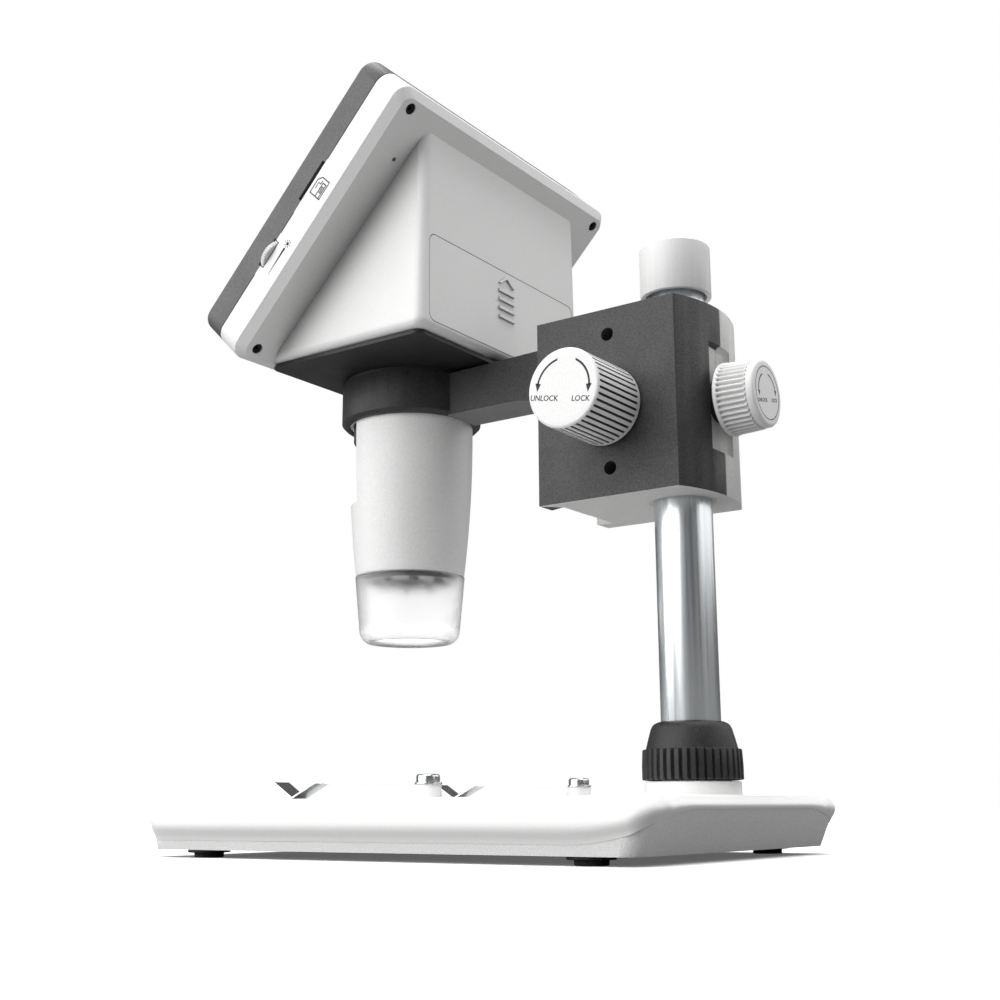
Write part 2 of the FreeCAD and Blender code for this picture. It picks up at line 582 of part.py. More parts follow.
def lock_knob(name, radius, start, finish, x, y, z, along, ribs, shaft_end, label):
    """A round knob with fine grooves between a plain rim and a soft front edge."""
    axis = FreeCAD.Vector(*{"x": (1, 0, 0), "y": (0, 1, 0)}[along])
    first = (start, y, z) if along == "x" else (x, start, z)
    whole = rod(name + "Whole", radius, finish - start, *first, along)
    front = number(finish)

    def at_front(edge):
        box = edge.BoundBox
        low, high = (box.XMin, box.XMax) if along == "x" else (box.YMin, box.YMax)
        return low > front - 0.01 and high < front + 0.01

    soft = rounded(name + "Soft", whole, 1.4, at_front)
    groove_start = start + d.knob_rim
    spot = (groove_start, y, z + radius + 0.12)
    if along == "y":
        spot = (x, groove_start, z + radius + 0.12)
    groove = rod(name + "Groove", d.knob_groove, finish - groove_start - 2.0, *spot, along)
    doc.recompute()
    centre = FreeCAD.Vector(number(x), number(y), number(z))
    grooves = spread(name + "Grooves", groove, ribs, along=(axis.x, axis.y, axis.z),
                     centre=centre)
    shaft = (start, y, z) if along == "x" else (x, start, z)
    bore = rod(name + "Bore", d.stud_radius + 0.02, shaft_end - start, *shaft, along)
    return keep(cut(name, soft, grooves, bore), label)


lock_knob("RearKnob", d.rear_knob_radius, d.rear_knob_start, d.rear_knob_end, 0, 0,
          d.knob_height, "y", int(number(d.rear_knob_ribs)), d.rear_knob_end - 4,
          "rear_lock_knob")
lock_knob("SideKnob", d.side_knob_radius, d.car_half + d.side_knob_gap,
          d.car_half + d.side_knob_gap + d.side_knob_length, 0, -d.side_knob_y, d.side_knob_z,
          "x", int(number(d.side_knob_ribs)), bolt_finish, "side_lock_knob")

# ARM
ring_bore = d.barrel_radius + d.run_gap
arm_ring = turned("ArmRing", [
    (ring_bore, d.ring_bottom), (d.ring_radius - 1.2, d.ring_bottom),
    (d.ring_radius, d.ring_bottom + 1.2), (d.ring_radius, d.ring_top),
    (ring_bore, d.ring_top)], -d.barrel_y)
arm_foot = -d.car_front + 0.4
arm_bar = pad("ArmBar", "YZ_Plane", [
    (-d.barrel_y + d.ring_radius - 2.5, d.arm_under_far), (-d.car_front - 20, d.arm_under_far),
    (arm_foot, d.arm_under_near, -45.0), (arm_foot, d.arm_top),
    (-d.barrel_y + d.ring_radius, d.ring_top),
    (-d.barrel_y + d.ring_radius - 2.5, d.ring_top)], -d.arm_half, d.arm_half)
plate_mouth = d.channel_mouth - d.slide_gap
plate_floor = d.channel_floor_half - d.slide_gap
arm_plate = pad("ArmPlate", "XY_Plane", [
    (-plate_mouth, -d.car_front), (plate_mouth, -d.car_front),
    (plate_floor, channel_y - d.slide_gap), (-plate_floor, channel_y - d.slide_gap)],
    d.slide_bottom, d.slide_top)
arm_whole = fuse("ArmWhole", arm_ring, arm_bar, arm_plate)
keep(cut("Arm", arm_whole, rod("ArmBore", ring_bore, far, 0, -d.barrel_y, d.ring_bottom - 9)),
     "arm")

# BARREL AND OPTICS
barrel_top = d.hump_bottom - d.under_thick
bore = d.barrel_low_radius - d.barrel_wall
wheel_room = d.wheel_radius + 0.3
barrel_form = turned("BarrelTurned", [
    (bore, d.barrel_bottom), (d.barrel_low_radius, d.barrel_bottom),
    (d.barrel_radius, d.window_high + 1.5, 420.0), (d.barrel_radius, barrel_top),
    (d.barrel_radius - 4, barrel_top), (d.barrel_radius - 4, d.window_high + 2),
    (d.barrel_radius - 5.1, d.window_high + 2), (d.barrel_radius - 5.1, d.window_high + 0.8),
    (wheel_room, d.window_high + 0.8), (wheel_room, d.wheel_low - 0.3),
    (bore, d.wheel_low - 0.3)], -d.barrel_y)
recess_side = block("RecessSide", (-far, -far, d.window_low),
                    (far, -d.barrel_y - d.window_depth, d.window_high))
recess_floor = turned("RecessFloor", [
    (0.0, d.window_low - 8), (d.barrel_radius + 2, d.window_low - 8),
    (d.barrel_radius + 2, d.window_low - 1), (d.window_half, d.wheel_low - 1.6, 60.0),
    (d.window_half, d.window_high + 4), (0.0, d.window_high + 4)], -d.barrel_y)
recess = cut("Recess", recess_side, recess_floor)
keep(cut("Barrel", barrel_form, recess), "barrel")
hub_bore = d.lens_tube_radius + d.run_gap
wheel_form = turned("WheelTurned", [
    (hub_bore, d.wheel_low - 2), (d.hub_radius + 2, d.wheel_low - 2),
    (d.hub_radius + 2, d.wheel_low), (d.wheel_radius, d.wheel_low),
    (d.wheel_radius, d.wheel_high), (d.hub_radius, d.wheel_high),
    (d.hub_radius, d.window_high + 3.8), (hub_bore, d.window_high + 3.8)], -d.barrel_y)
wheel_groove = rod("WheelGroove", 0.4, d.wheel_high - d.wheel_low, d.wheel_radius + 0.1,
                   -d.barrel_y, d.wheel_low)
doc.recompute()
wheel_grooves = spread("WheelGrooves", wheel_groove, int(number(d.wheel_grooves)), -d.barrel_y)
keep(cut("FocusWheel", wheel_form, wheel_grooves), "focus_wheel")
tube_inner = d.lens_tube_radius - d.lens_tube_wall
keep(ring("LensTube", d.lens_tube_radius, tube_inner, d.lens_tube_high - d.lens_tube_low, 0,
          -d.barrel_y, d.lens_tube_low), "lens_tube")
lens_low = d.lens_tube_low + 0.6
lens_round = tube_inner - 0.02
keep(turned("Lens", [
    (0.0, lens_low), (lens_round, lens_low + 0.7, 20.0), (lens_round, lens_low + d.lens_thick),
    (0.0, lens_low + d.lens_thick)], -d.barrel_y), "objective_lens")
mount_low = d.window_high + 2
keep(turned("SensorMount", [
    (d.hub_radius + d.run_gap, mount_low), (d.barrel_radius - 4.1, mount_low),
    (d.barrel_radius - 4.1, mount_low + 6), (d.barrel_radius - 6, mount_low + 6),
    (d.barrel_radius - 6, mount_low + 2), (d.hub_radius + d.run_gap, mount_low + 2)],
    -d.barrel_y), "sensor_mount")
sensor_board = rod("SensorBoardDisc", d.barrel_radius - 4.2, d.board_thick, 0, -d.barrel_y,
                   mount_low + 6)
sensor_chip = block("SensorChip", (-5.0, -d.barrel_y - 5, mount_low + 4.8),
                    (5.0, -d.barrel_y + 5, mount_low + 6))
keep(fuse("SensorBoard", sensor_board, sensor_chip), "sensor_board")
led_disc = ring("LedDisc", d.led_outer, d.led_inner, d.board_thick, 0, -d.barrel_y,
                d.barrel_bottom - d.board_thick)
lamp = doc.addObject("Part::Sphere", "Lamp")
lamp.Radius = number(d.led_lamp_radius)
bind(lamp, "Radius", d.led_lamp_radius)
place(lamp, d.led_circle, -d.barrel_y, d.barrel_bottom - d.board_thick)
doc.recompute()
lamps = spread("Lamps", lamp, int(number(d.led_count)), -d.barrel_y)
keep(fuse("LedBoard", led_disc, lamps), "led_board")
keep(turned("Cup", [
    (d.cup_mouth, d.cup_bottom), (d.cup_low_radius - d.cup_round, d.cup_bottom),
    (d.cup_low_radius, d.cup_bend, 4.9), (d.cup_radius, d.cup_top),
    (d.cup_radius - d.cup_wall, d.cup_top),
    (d.cup_low_radius - d.cup_wall, d.cup_bend + 0.4), (d.cup_mouth, d.cup_bottom + 1.8, -3.6)],
    -d.barrel_y), "clear_cup")

# DISPLAY CASE, drawn flat with n towards the user and then tilted into place
lean = 90 - number(d.tilt)
case_frame = FreeCAD.Placement(
    FreeCAD.Vector(0, -number(d.hole_y), number(d.hole_z)),
    FreeCAD.Rotation(FreeCAD.Vector(1, 0, 0), lean))


def tilted(thing):
    for letter in "xyz":
        thing.setExpression("Placement.Base." + letter, None)
    thing.Placement = case_frame.multiply(thing.Placement)
    return thing


def case_outline(inset, corner):
    return soft_box(-d.case_half + inset, d.case_half - inset, -d.case_low + inset,
                    d.case_high - inset, corner)


case_back = tilted(lofted("CaseBack", [
    (case_outline(d.bevel_in, d.case_corner - 2), 0.0),
    (case_outline(0.0, d.case_corner), d.bevel_high), (case_outline(0.0, d.case_corner), d.seam)]))
case_inside = tilted(pad("CaseInside", "XY_Plane", case_outline(
    d.case_wall + 0.5, d.case_corner - 2), d.case_wall, d.seam + 1))


def hump_outline(half, back, front, corner):
    return [
        (half, -front), (half, -back - corner), (half - corner, -back, corner),
        (-half + corner, -back), (-half, -back - corner, corner), (-half, -front)]


hump_lead = (d.hump_top - d.hump_bottom)
lean_in = (d.hump_half_low - d.hump_half_high) / hump_lead * d.hump_past
hump_reach = 150.0
high_half = d.hump_half_high - lean_in
hump_tall = d.hump_top + d.hump_past - d.hump_bottom
hump_sections = []
for step in range(round_steps + 1):
    turn = math.radians(90.0 * step / round_steps)
    up = d.hump_round * (1 - math.cos(turn))
    inset = d.hump_round * (1 - math.sin(turn))
    half = d.hump_half_low - (d.hump_half_low - high_half) * up / hump_tall - inset
    hump_sections.append((
        hump_outline(half, d.hump_back + inset, hump_reach, d.hump_corner), d.hump_bottom + up))
hump_form = lofted("HumpForm", hump_sections + [
    (hump_outline(high_half, d.hump_back, hump_reach, d.hump_corner),
     d.hump_top + d.hump_past)])
inside_corner = d.hump_corner - 1
thick = d.hump_wall + d.hump_round
hump_inside = lofted("HumpInside", [
    (hump_outline(d.hump_half_low - thick, d.hump_back + thick, hump_reach, inside_corner),
     d.hump_bottom - 3),
    (hump_outline(d.hump_half_low - thick, d.hump_back + thick, hump_reach, inside_corner),
     d.hump_bottom + 1),
    (hump_outline(d.hump_half_low - d.hump_wall, d.hump_back + d.hump_wall, hump_reach,
                  inside_corner), d.hump_bottom + 6),
    (hump_outline(high_half - d.hump_wall, d.hump_back + d.hump_wall, hump_reach,
                  inside_corner), d.hump_top + d.hump_past)])
in_front = tilted(block("InFrontOfPlate", (-far, -far, 0.6), (far, far, far)))
in_case = tilted(block("InCase", (-far, -far, d.case_wall + 0.5), (far, far, far)))
above_low_wall = tilted(block("LowWall", (-far, -far, -far), (far, 0.5, far)))
hump_block = cut("HumpBlock", hump_form, in_front)
hump_hollow = cut("HumpHollow", hump_inside, in_case, above_low_wall)
case_cuts = [case_inside, hump_hollow]
back_bosses, back_bores, bezel_bosses, bezel_bores, case_screws = [], [], [], [], []
for index, (x, s) in enumerate([(sx * d.hole_half, s) for sx in (-1, 1)
                                for s in (0.0, d.hole_pitch)]):
    name = "CaseScrew%d" % index
    back_bosses.append(tilted(rod(name + "Boss", 3.4, d.seam - 1, x, s, 1.0)))
    back_bores.append(tilted(rod(name + "Hole", d.hole_radius, 9.5, x, s, -1.0)))
    back_bores.append(tilted(rod(name + "Way", 1.25, far, x, s, 0)))
    bezel_bosses.append(tilted(rod(name + "Post", 3.4, d.case_deep - d.seam - 1, x, s, d.seam)))
    bezel_bores.append(tilted(rod(name + "Pilot", 1.25, 6.5, x, s, d.seam)))
    head = tilted(rod(name + "Head", d.hole_radius - 0.1, 1.8, x, s, 6.7))
    shank = tilted(rod(name + "Shank", 1.2, 10.0, x, s, 8.5))
    case_screws.append(fuse(name, head, shank))
board_posts = [tilted(rod("BoardPost%d" % i, 2.5, d.board_low - 1, x, s, 1.0))
               for i, (x, s) in enumerate([(sx * 50.0, s) for sx in (-1, 1)
                                           for s in (12.0, 80.0)])]
wheel_x = d.case_half + d.disc_stand - d.wheel_disc_radius
wheel_low = d.seam - d.disc_thick / 2 - 0.4
wheel_slot = tilted(block("WheelSlot", (wheel_x - 7.2, d.disc_s - 7.2, wheel_low - 0.3),
                          (far, d.disc_s + 7.2, wheel_low + d.disc_thick + 0.3)))
wheel_way = tilted(rod("WheelWay", d.wheel_disc_radius + 0.35, d.disc_thick + 0.6, wheel_x,
                       d.disc_s, wheel_low - 0.3))
board_top = d.board_low + d.board_thick
usb_way = tilted(block("UsbWay", (-far, d.usb_s - 4.2, board_top),
                       (-d.case_half + 3, d.usb_s + 4.2, board_top + 3.2)))
door_recess = pad("DoorRecess", "XZ_Plane", soft_box(
    -d.door_half - d.door_gap, d.door_half + d.door_gap, d.door_low - d.door_gap,
    d.door_high + d.door_gap, d.door_corner), d.hump_back - 2, d.hump_back + d.door_thick)
door_way = block("DoorWay", (-d.door_half + 4, -d.hump_back - 8, d.door_low + 3),
                 (d.door_half - 4, -d.hump_back + 2, d.door_high - 3))
back_open = cut("BackOpen", fuse("BackForm", case_back, hump_block), *case_cuts)
back_solid = fuse("BackSolid", back_open, *back_bosses, *board_posts)
pin_hole = tilted(rod("BackPinHole", 0.75, 4.0, 49.5, 76.4, -1.0))
keep(cut("BackShell", back_solid, *back_bores, wheel_way, usb_way, door_recess, door_way,
         pin_hole), "back_shell")
keep(group("CaseScrews", *case_screws), "case_screws")

bezel_form = tilted(pad("BezelForm", "XY_Plane", case_outline(0.0, d.case_corner),
                        d.seam, d.case_deep))
case_normal = case_frame.Rotation.multVec(FreeCAD.Vector(0, 0, 1))
front_level = case_frame.Base.dot(case_normal) + number(d.case_deep)


def on_front(edge):
    return all(abs(v.Point.dot(case_normal) - front_level) < 0.01 for v in edge.Vertexes)


bezel_soft = rounded("BezelSoft", bezel_form, d.bezel_round, on_front)
bezel_inside = tilted(pad("BezelInside", "XY_Plane", case_outline(
    d.case_wall, d.case_corner - 2), d.seam - 1, d.case_deep - d.case_wall))
glass_seat = tilted(pad("GlassSeat", "XY_Plane", soft_box(
    -d.screen_half, d.screen_half, d.screen_low, d.screen_high, 2.0),
    d.case_deep - d.glass_thick, d.case_deep + 1))
view_way = tilted(pad("ViewWay", "XY_Plane", soft_box(
    -d.view_half, d.view_half, d.view_low, d.view_high, 1.0), d.seam, d.case_deep + 1))
card_way = tilted(block("CardWay", (d.case_half - 3, d.slot_low, d.seam),
                        (far, d.slot_high, d.seam + d.slot_thick)))
button_ways, buttons = [], []
button_names = ("power", "menu", "left", "right", "ok", "photo")
button_low = d.case_deep - d.case_wall - d.button_travel - 1.2
for index, name in enumerate(button_names):
    x = (index - 2.5) * d.button_pitch
    button_ways.append(tilted(rod("ButtonWay" + name, d.button_radius + d.button_gap, 6.0, x,
                                  d.button_s, d.case_deep - 4)))
    stem = tilted(rod("ButtonCap" + name, d.button_radius,
                      d.case_deep + d.button_stand - button_low, x, d.button_s, button_low))
    lip = tilted(rod("ButtonLip" + name, d.button_radius + 1, 0.9, x, d.button_s, button_low))
    cap_level = front_level + number(d.button_stand)
    soft_stem = rounded("ButtonSoft" + name, stem, 0.5, lambda edge: all(
        abs(v.Point.dot(case_normal) - cap_level) < 0.01 for v in edge.Vertexes))
    buttons.append((fuse("Button" + name, soft_stem, lip), name))
bezel_solid = fuse("BezelSolid", cut("BezelOpen", bezel_soft, bezel_inside), *[
    common("BossIn%d" % i, boss, bezel_form) for i, boss in enumerate(bezel_bosses)])
keep(cut("Bezel", bezel_solid, glass_seat, view_way, card_way, wheel_way, *button_ways,
         *bezel_bores), "front_bezel")
for thing, name in buttons:
    keep(thing, name + "_button")
glass_gap = 0.05
keep(tilted(pad("ScreenGlass", "XY_Plane", soft_box(
    -d.screen_half + glass_gap, d.screen_half - glass_gap, d.screen_low + glass_gap,
    d.screen_high - glass_gap, 2.0), d.case_deep - d.glass_thick, d.case_deep)), "screen_glass")
keep(tilted(block("LcdPanel", (-d.lcd_half + 1.3, d.lcd_low, d.case_deep - d.case_wall
                               - d.lcd_thick),
                  (d.lcd_half - 1.3, d.lcd_high - 3, d.case_deep - d.case_wall))), "lcd_panel")
button_board = tilted(block("ButtonBoardPlate", (-46.0, d.button_s - 6, button_low - 2.2),
                            (46.0, d.button_s + 6, button_low - 0.6)))
button_legs = [tilted(rod("ButtonLeg%d" % i, 1.5, button_low - 2.2 - board_top, x, d.button_s,
                          board_top)) for i, x in enumerate((-40.0, 40.0))]
keep(fuse("ButtonBoard", button_board, *button_legs), "button_board")
keep(tilted(block("MainBoard", (-d.main_board_half, d.main_board_low, d.board_low),
                  (d.main_board_half, d.main_board_high, board_top))), "main_board")
keep(tilted(cut("BrightnessWheelBored", rod("WheelDisc", d.wheel_disc_radius, d.disc_thick,
                                            wheel_x, d.disc_s, wheel_low),
                rod("WheelPinHole", 1.5 + d.run_gap, d.disc_thick, wheel_x, d.disc_s,
                    wheel_low))), "brightness_wheel")
dimmer_case = tilted(block("DimmerCase", (wheel_x - 7, d.disc_s - 5, board_top),
                           (wheel_x + 2, d.disc_s + 5, wheel_low - 0.35)))
dimmer_pin = tilted(rod("DimmerPin", 1.5, d.disc_thick, wheel_x, d.disc_s, wheel_low - 0.4))
keep(fuse("Dimmer", dimmer_case, dimmer_pin), "dimmer")
card_case = tilted(block("CardCase", (d.case_half - 18, d.slot_low - 1, board_top),
                         (d.case_half - d.case_wall - 0.6, d.slot_high + 1,
                          d.seam + d.slot_thick + 0.4)))
card_room = tilted(block("CardRoom", (d.case_half - 16, d.slot_low, d.seam),
                         (far, d.slot_high, d.seam + d.slot_thick)))
keep(cut("CardSocket", card_case, card_room), "card_socket")
usb_case = tilted(block("UsbCase", (-d.case_half + 0.6, d.usb_s - 3.9, board_top),
                        (-d.case_half + d.usb_long, d.usb_s + 3.9, board_top + 2.9)))
usb_room = tilted(block("UsbRoom", (-far, d.usb_s - 3.3, board_top + 0.5),
                        (-d.case_half + d.usb_long - 2, d.usb_s + 3.3, board_top + 2.4)))
keep(cut("UsbSocket", usb_case, usb_room), "usb_socket")

# UNDERSIDE PLATE, BATTERY DOOR AND BATTERY
under_low = d.hump_bottom - d.under_thick
under_form = pad("UnderForm", "XY_Plane", soft_box(
    -d.hump_half_low + d.hump_round, d.hump_half_low - d.hump_round, -d.under_front,
    -d.hump_back - d.hump_round, d.hump_corner),
    under_low, d.hump_bottom)
neck = ring("Neck", d.neck_radius, d.barrel_radius + thread_clear, under_low - d.ring_top, 0,
            -d.barrel_y, d.ring_top)
cable_way = rod("CableWay", 10.0, far, 0, -d.barrel_y, under_low - 1)
keep(cut("Underside", fuse("UnderWhole", under_form, neck), case_back, cable_way),
     "underside_plate")
door = pad("DoorPlate", "XZ_Plane", soft_box(
    -d.door_half, d.door_half, d.door_low, d.door_high, d.door_corner), d.hump_back,
    d.hump_back + d.door_thick)
ridges = [block("Ridge%d" % i, (-d.ridge_half, -d.hump_back, d.ridge_low + d.ridge_pitch * i),
                (d.ridge_half, -d.hump_back + d.ridge_proud,
                 d.ridge_low + d.ridge_pitch * i + d.ridge_high))
          for i in range(int(number(d.ridge_count)))]
arrow_low = d.ridge_low + d.ridge_pitch * number(d.ridge_count)
arrow = pad("DoorArrow", "XZ_Plane", [
    (-d.ridge_half, arrow_low), (-d.ridge_half + d.ridge_high, arrow_low),
    (0.0, arrow_low + d.arrow_high - d.ridge_high), (d.ridge_half - d.ridge_high, arrow_low),
    (d.ridge_half, arrow_low), (0.0, arrow_low + d.arrow_high)],
    d.hump_back - d.ridge_proud, d.hump_back)
keep(fuse("BatteryDoor", door, arrow, *ridges), "battery_door")
pack_y = -d.hump_back - thick - 0.2
keep(block("BatteryPack", (-26.5, pack_y - 5.7, d.hump_bottom + 0.2),
           (26.5, pack_y, d.hump_bottom + 34)), "battery_pack")

# CHECK AND WRITE
doc.recompute()
faults = [thing.Name for thing in doc.Objects
          if "Invalid" in thing.State or "Error" in thing.State]
if faults:
    raise SystemExit("failed features: " + ", ".join(faults))
# The finished model's origin is the middle of its footprint, between the base's front and the rear
# knob's face.
to_middle = FreeCAD.Vector(0, number(d.base_front + d.shell_flare - d.rear_knob_end) / 2, 0)
os.makedirs("parts", exist_ok=True)
for thing in nodes:
    shape = thing.Shape.copy()
    if shape.isNull() or not shape.isValid() or not shape.Solids:
        raise SystemExit("bad shape: " + thing.Label)
    shape.translate(to_middle)
    shape.exportStep("parts/%s.step" % thing.Label)
    print(thing.Label, len(shape.Solids), round(shape.Volume, 1))
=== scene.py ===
import bmesh
import bpy
import math
from mathutils import Matrix, Vector


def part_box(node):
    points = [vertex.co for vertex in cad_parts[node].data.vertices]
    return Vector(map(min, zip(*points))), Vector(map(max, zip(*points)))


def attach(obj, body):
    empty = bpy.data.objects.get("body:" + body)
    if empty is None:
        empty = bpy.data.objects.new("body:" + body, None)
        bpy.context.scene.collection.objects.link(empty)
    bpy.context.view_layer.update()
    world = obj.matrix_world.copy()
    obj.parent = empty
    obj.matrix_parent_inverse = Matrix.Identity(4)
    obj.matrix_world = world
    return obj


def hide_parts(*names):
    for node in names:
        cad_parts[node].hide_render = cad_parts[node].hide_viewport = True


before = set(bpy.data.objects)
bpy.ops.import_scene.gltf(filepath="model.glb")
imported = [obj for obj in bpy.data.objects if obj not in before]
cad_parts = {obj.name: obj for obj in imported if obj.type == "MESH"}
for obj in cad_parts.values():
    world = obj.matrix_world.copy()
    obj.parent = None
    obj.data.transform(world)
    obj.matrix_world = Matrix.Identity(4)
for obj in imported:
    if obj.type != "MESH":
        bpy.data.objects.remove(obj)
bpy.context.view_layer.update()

# THE PHOTOGRAPH'S CAMERA
# It stands low behind the base's right rear corner and looks up at the head. Its place, turn and
# focal length were fitted to points of the photograph.
shot_place = Vector((0.362388, 0.254843, 0.014377))
shot_yaw, shot_pitch, shot_roll = (math.radians(a) for a in (35.07776, 12.70705, -0.3117))
ahead = Vector((-math.cos(shot_yaw) * math.cos(shot_pitch),
                -math.sin(shot_yaw) * math.cos(shot_pitch), math.sin(shot_pitch)))
level = ahead.cross(Vector((0, 0, 1))).normalized()
upward = level.cross(ahead)
shot_right = level * math.cos(shot_roll) + upward * math.sin(shot_roll)
shot_top = upward * math.cos(shot_roll) - level * math.sin(shot_roll)
camera_data = bpy.data.cameras.new("photograph")
camera_data.sensor_width = 36.0
camera_data.lens = 49.25
camera_data.clip_start = 0.01
camera_data.clip_end = 50.0
camera = bpy.data.objects.new("photograph", camera_data)
bpy.context.scene.collection.objects.link(camera)
camera.matrix_world = Matrix.Translation(shot_place) @ Matrix(
    (shot_right, shot_top, -ahead)).transposed().to_4x4()
bpy.context.scene.camera = camera
bpy.context.scene.view_settings.view_transform = "Standard"


# TABLE AND STUDIO
# A white table under a white room. The room and table are white where they are seen, and greyer in
# the light that they give back, as black flags round a product shot make them.
def new_material(name, colour, roughness, metallic=0.0):
    """A material with its shader's plain values set."""
    made = bpy.data.materials.new(name)
    made.use_nodes = True
    shader = made.node_tree.nodes["Principled BSDF"]
    shader.inputs["Base Color"].default_value = (*colour, 1.0)
    shader.inputs["Roughness"].default_value = roughness
    shader.inputs["Metallic"].default_value = metallic
    made.diffuse_color = (*colour, 1.0)
    return made


def seen_directly(tree):
    """A socket that is 1 for what the camera sees, straight or through clear plastic."""
    path = tree.nodes.new("ShaderNodeLightPath")
    either = tree.nodes.new("ShaderNodeMath")
    either.operation = "MAXIMUM"
    tree.links.new(path.outputs["Is Camera Ray"], either.inputs[0])
    tree.links.new(path.outputs["Is Transmission Ray"], either.inputs[1])
    return either.outputs[0]


room_glow, room_seen = 0.12, 1.0
world = bpy.data.worlds.new("white_room")
world.use_nodes = True
sky = world.node_tree.nodes["Background"]
sky.inputs["Color"].default_value = (1.0, 1.0, 1.0, 1.0)
room_mix = world.node_tree.nodes.new("ShaderNodeMapRange")
room_mix.inputs["To Min"].default_value = room_glow
room_mix.inputs["To Max"].default_value = room_seen
world.node_tree.links.new(seen_directly(world.node_tree), room_mix.inputs["Value"])
world.node_tree.links.new(room_mix.outputs["Result"], sky.inputs["Strength"])
bpy.context.scene.world = world

table_half = 8.0
table_bounce, table_seen, table_shadow_lift = 0.13, 0.95, 0.11
table_mesh = bpy.data.meshes.new("table")
table_mesh.from_pydata([(-table_half, -table_half, 0), (table_half, -table_half, 0),
                        (table_half, table_half, 0), (-table_half, table_half, 0)],
                       [], [(0, 1, 2, 3)])
table = bpy.data.objects.new("table", table_mesh)
bpy.context.scene.collection.objects.link(table)
table_white = new_material("table_white", (0.9, 0.9, 0.9), 0.8)
table_tree = table_white.node_tree
table_shader = table_tree.nodes["Principled BSDF"]
table_mix = table_tree.nodes.new("ShaderNodeMix")
table_mix.data_type = "RGBA"
table_mix.inputs["A"].default_value = (table_bounce, table_bounce, table_bounce, 1.0)
table_mix.inputs["B"].default_value = (table_seen, table_seen, table_seen, 1.0)
table_direct = seen_directly(table_tree)
table_tree.links.new(table_direct, table_mix.inputs["Factor"])
table_tree.links.new(table_mix.outputs["Result"], table_shader.inputs["Base Color"])
# Where the camera sees it, the table also glows faintly: painted light that lifts the shadows on
# it.
table_shader.inputs["Emission Color"].default_value = (1.0, 1.0, 1.0, 1.0)
shadow_lift_mix = table_tree.nodes.new("ShaderNodeMath")
shadow_lift_mix.operation = "MULTIPLY"
shadow_lift_mix.inputs[1].default_value = table_shadow_lift
table_tree.links.new(table_direct, shadow_lift_mix.inputs[0])
table_tree.links.new(shadow_lift_mix.outputs[0], table_shader.inputs["Emission Strength"])
table_mesh.materials.append(table_white)

model_middle = Vector((0.0, 0.0, 0.13))


def soft_panel(name, azimuth, height, distance, width, tall, power):
    """An upright softbox, at an angle round the column from +X, that faces the model."""
    data = bpy.data.lights.new(name, "AREA")
    data.shape = "RECTANGLE"
    data.size, data.size_y = width, tall
    data.energy = power
    lamp = bpy.data.objects.new(name, data)
    bpy.context.scene.collection.objects.link(lamp)
    turn = math.radians(azimuth)
    lamp.location = (distance * math.cos(turn), distance * math.sin(turn), height)
    lamp.rotation_mode = "QUATERNION"
    lamp.rotation_quaternion = (model_middle - lamp.location).to_track_quat("-Z", "Y")


soft_panel("key_panel", azimuth=-28.0, height=0.62, distance=1.3, width=2.2, tall=1.6, power=33.0)
soft_panel("rim_panel", azimuth=128.0, height=0.85, distance=1.3, width=2.4, tall=1.2, power=12.0)
overhead = bpy.data.lights.new("overhead", "SUN")
overhead.energy = 3.5
overhead.angle = math.radians(50)
overhead_lamp = bpy.data.objects.new("overhead", overhead)
bpy.context.scene.collection.objects.link(overhead_lamp)


# BASE
# Two white ABS mouldings: a tray below, with the rear wall, and a shell above whose lower edge
# sweeps down along the sides. Screws through the tray draw the shell down on it.
def noise(tree, scale, detail=2.0, stretch=(1.0, 1.0, 1.0)):
    """Noise in the part's own space. The scale counts features per metre."""
    place = tree.nodes.new("ShaderNodeTexCoord")
    mapping = tree.nodes.new("ShaderNodeMapping")
    mapping.inputs["Scale"].default_value = stretch
    made = tree.nodes.new("ShaderNodeTexNoise")
    made.inputs["Scale"].default_value = scale
    made.inputs["Detail"].default_value = detail
    tree.links.new(place.outputs["Object"], mapping.inputs["Vector"])
    tree.links.new(mapping.outputs["Vector"], made.inputs["Vector"])
    return made.outputs["Fac"]


def vary(tree, factor, low, high, socket):
    """Drive a shader's socket between two values by a factor."""
    spread = tree.nodes.new("ShaderNodeMapRange")
    spread.inputs["From Min"].default_value = 0.3
    spread.inputs["From Max"].default_value = 0.7
    spread.inputs["To Min"].default_value = low
    spread.inputs["To Max"].default_value = high
    tree.links.new(factor, spread.inputs["Value"])
    tree.links.new(spread.outputs["Result"], socket)


def tint(tree, factor, dark, light, low=0.35, high=0.65):
    """Drive the shader's colour between two colours by a factor."""
    ramp = tree.nodes.new("ShaderNodeValToRGB")
    ramp.color_ramp.elements[0].position = low
    ramp.color_ramp.elements[0].color = (*dark, 1.0)
    ramp.color_ramp.elements[1].position = high
    ramp.color_ramp.elements[1].color = (*light, 1.0)
    tree.links.new(factor, ramp.inputs["Fac"])
    tree.links.new(ramp.outputs["Color"],
                   tree.nodes["Principled BSDF"].inputs["Base Color"])


def relief(tree, factor, strength, distance):
    """Raise the surface by a factor, through the shader's normal."""
    bump = tree.nodes.new("ShaderNodeBump")
    bump.inputs["Strength"].default_value = strength
    bump.inputs["Distance"].default_value = distance
    tree.links.new(factor, bump.inputs["Height"])
    tree.links.new(bump.outputs["Normal"], tree.nodes["Principled BSDF"].inputs["Normal"])


def moulded(name, dark, light, roughness, grain, depth):
    """Injection-moulded plastic with the fine sparked texture of its tool."""
    made = new_material(name, light, roughness)
    tree = made.node_tree
    shader = tree.nodes["Principled BSDF"]
    shader.inputs["Specular IOR Level"].default_value = 0.4
    sparks = noise(tree, grain, 3.0)
    tint(tree, sparks, dark, light)
    vary(tree, noise(tree, 90.0), roughness - 0.05, roughness + 0.05, shader.inputs["Roughness"])
    relief(tree, sparks, depth, 0.0002)
    return made


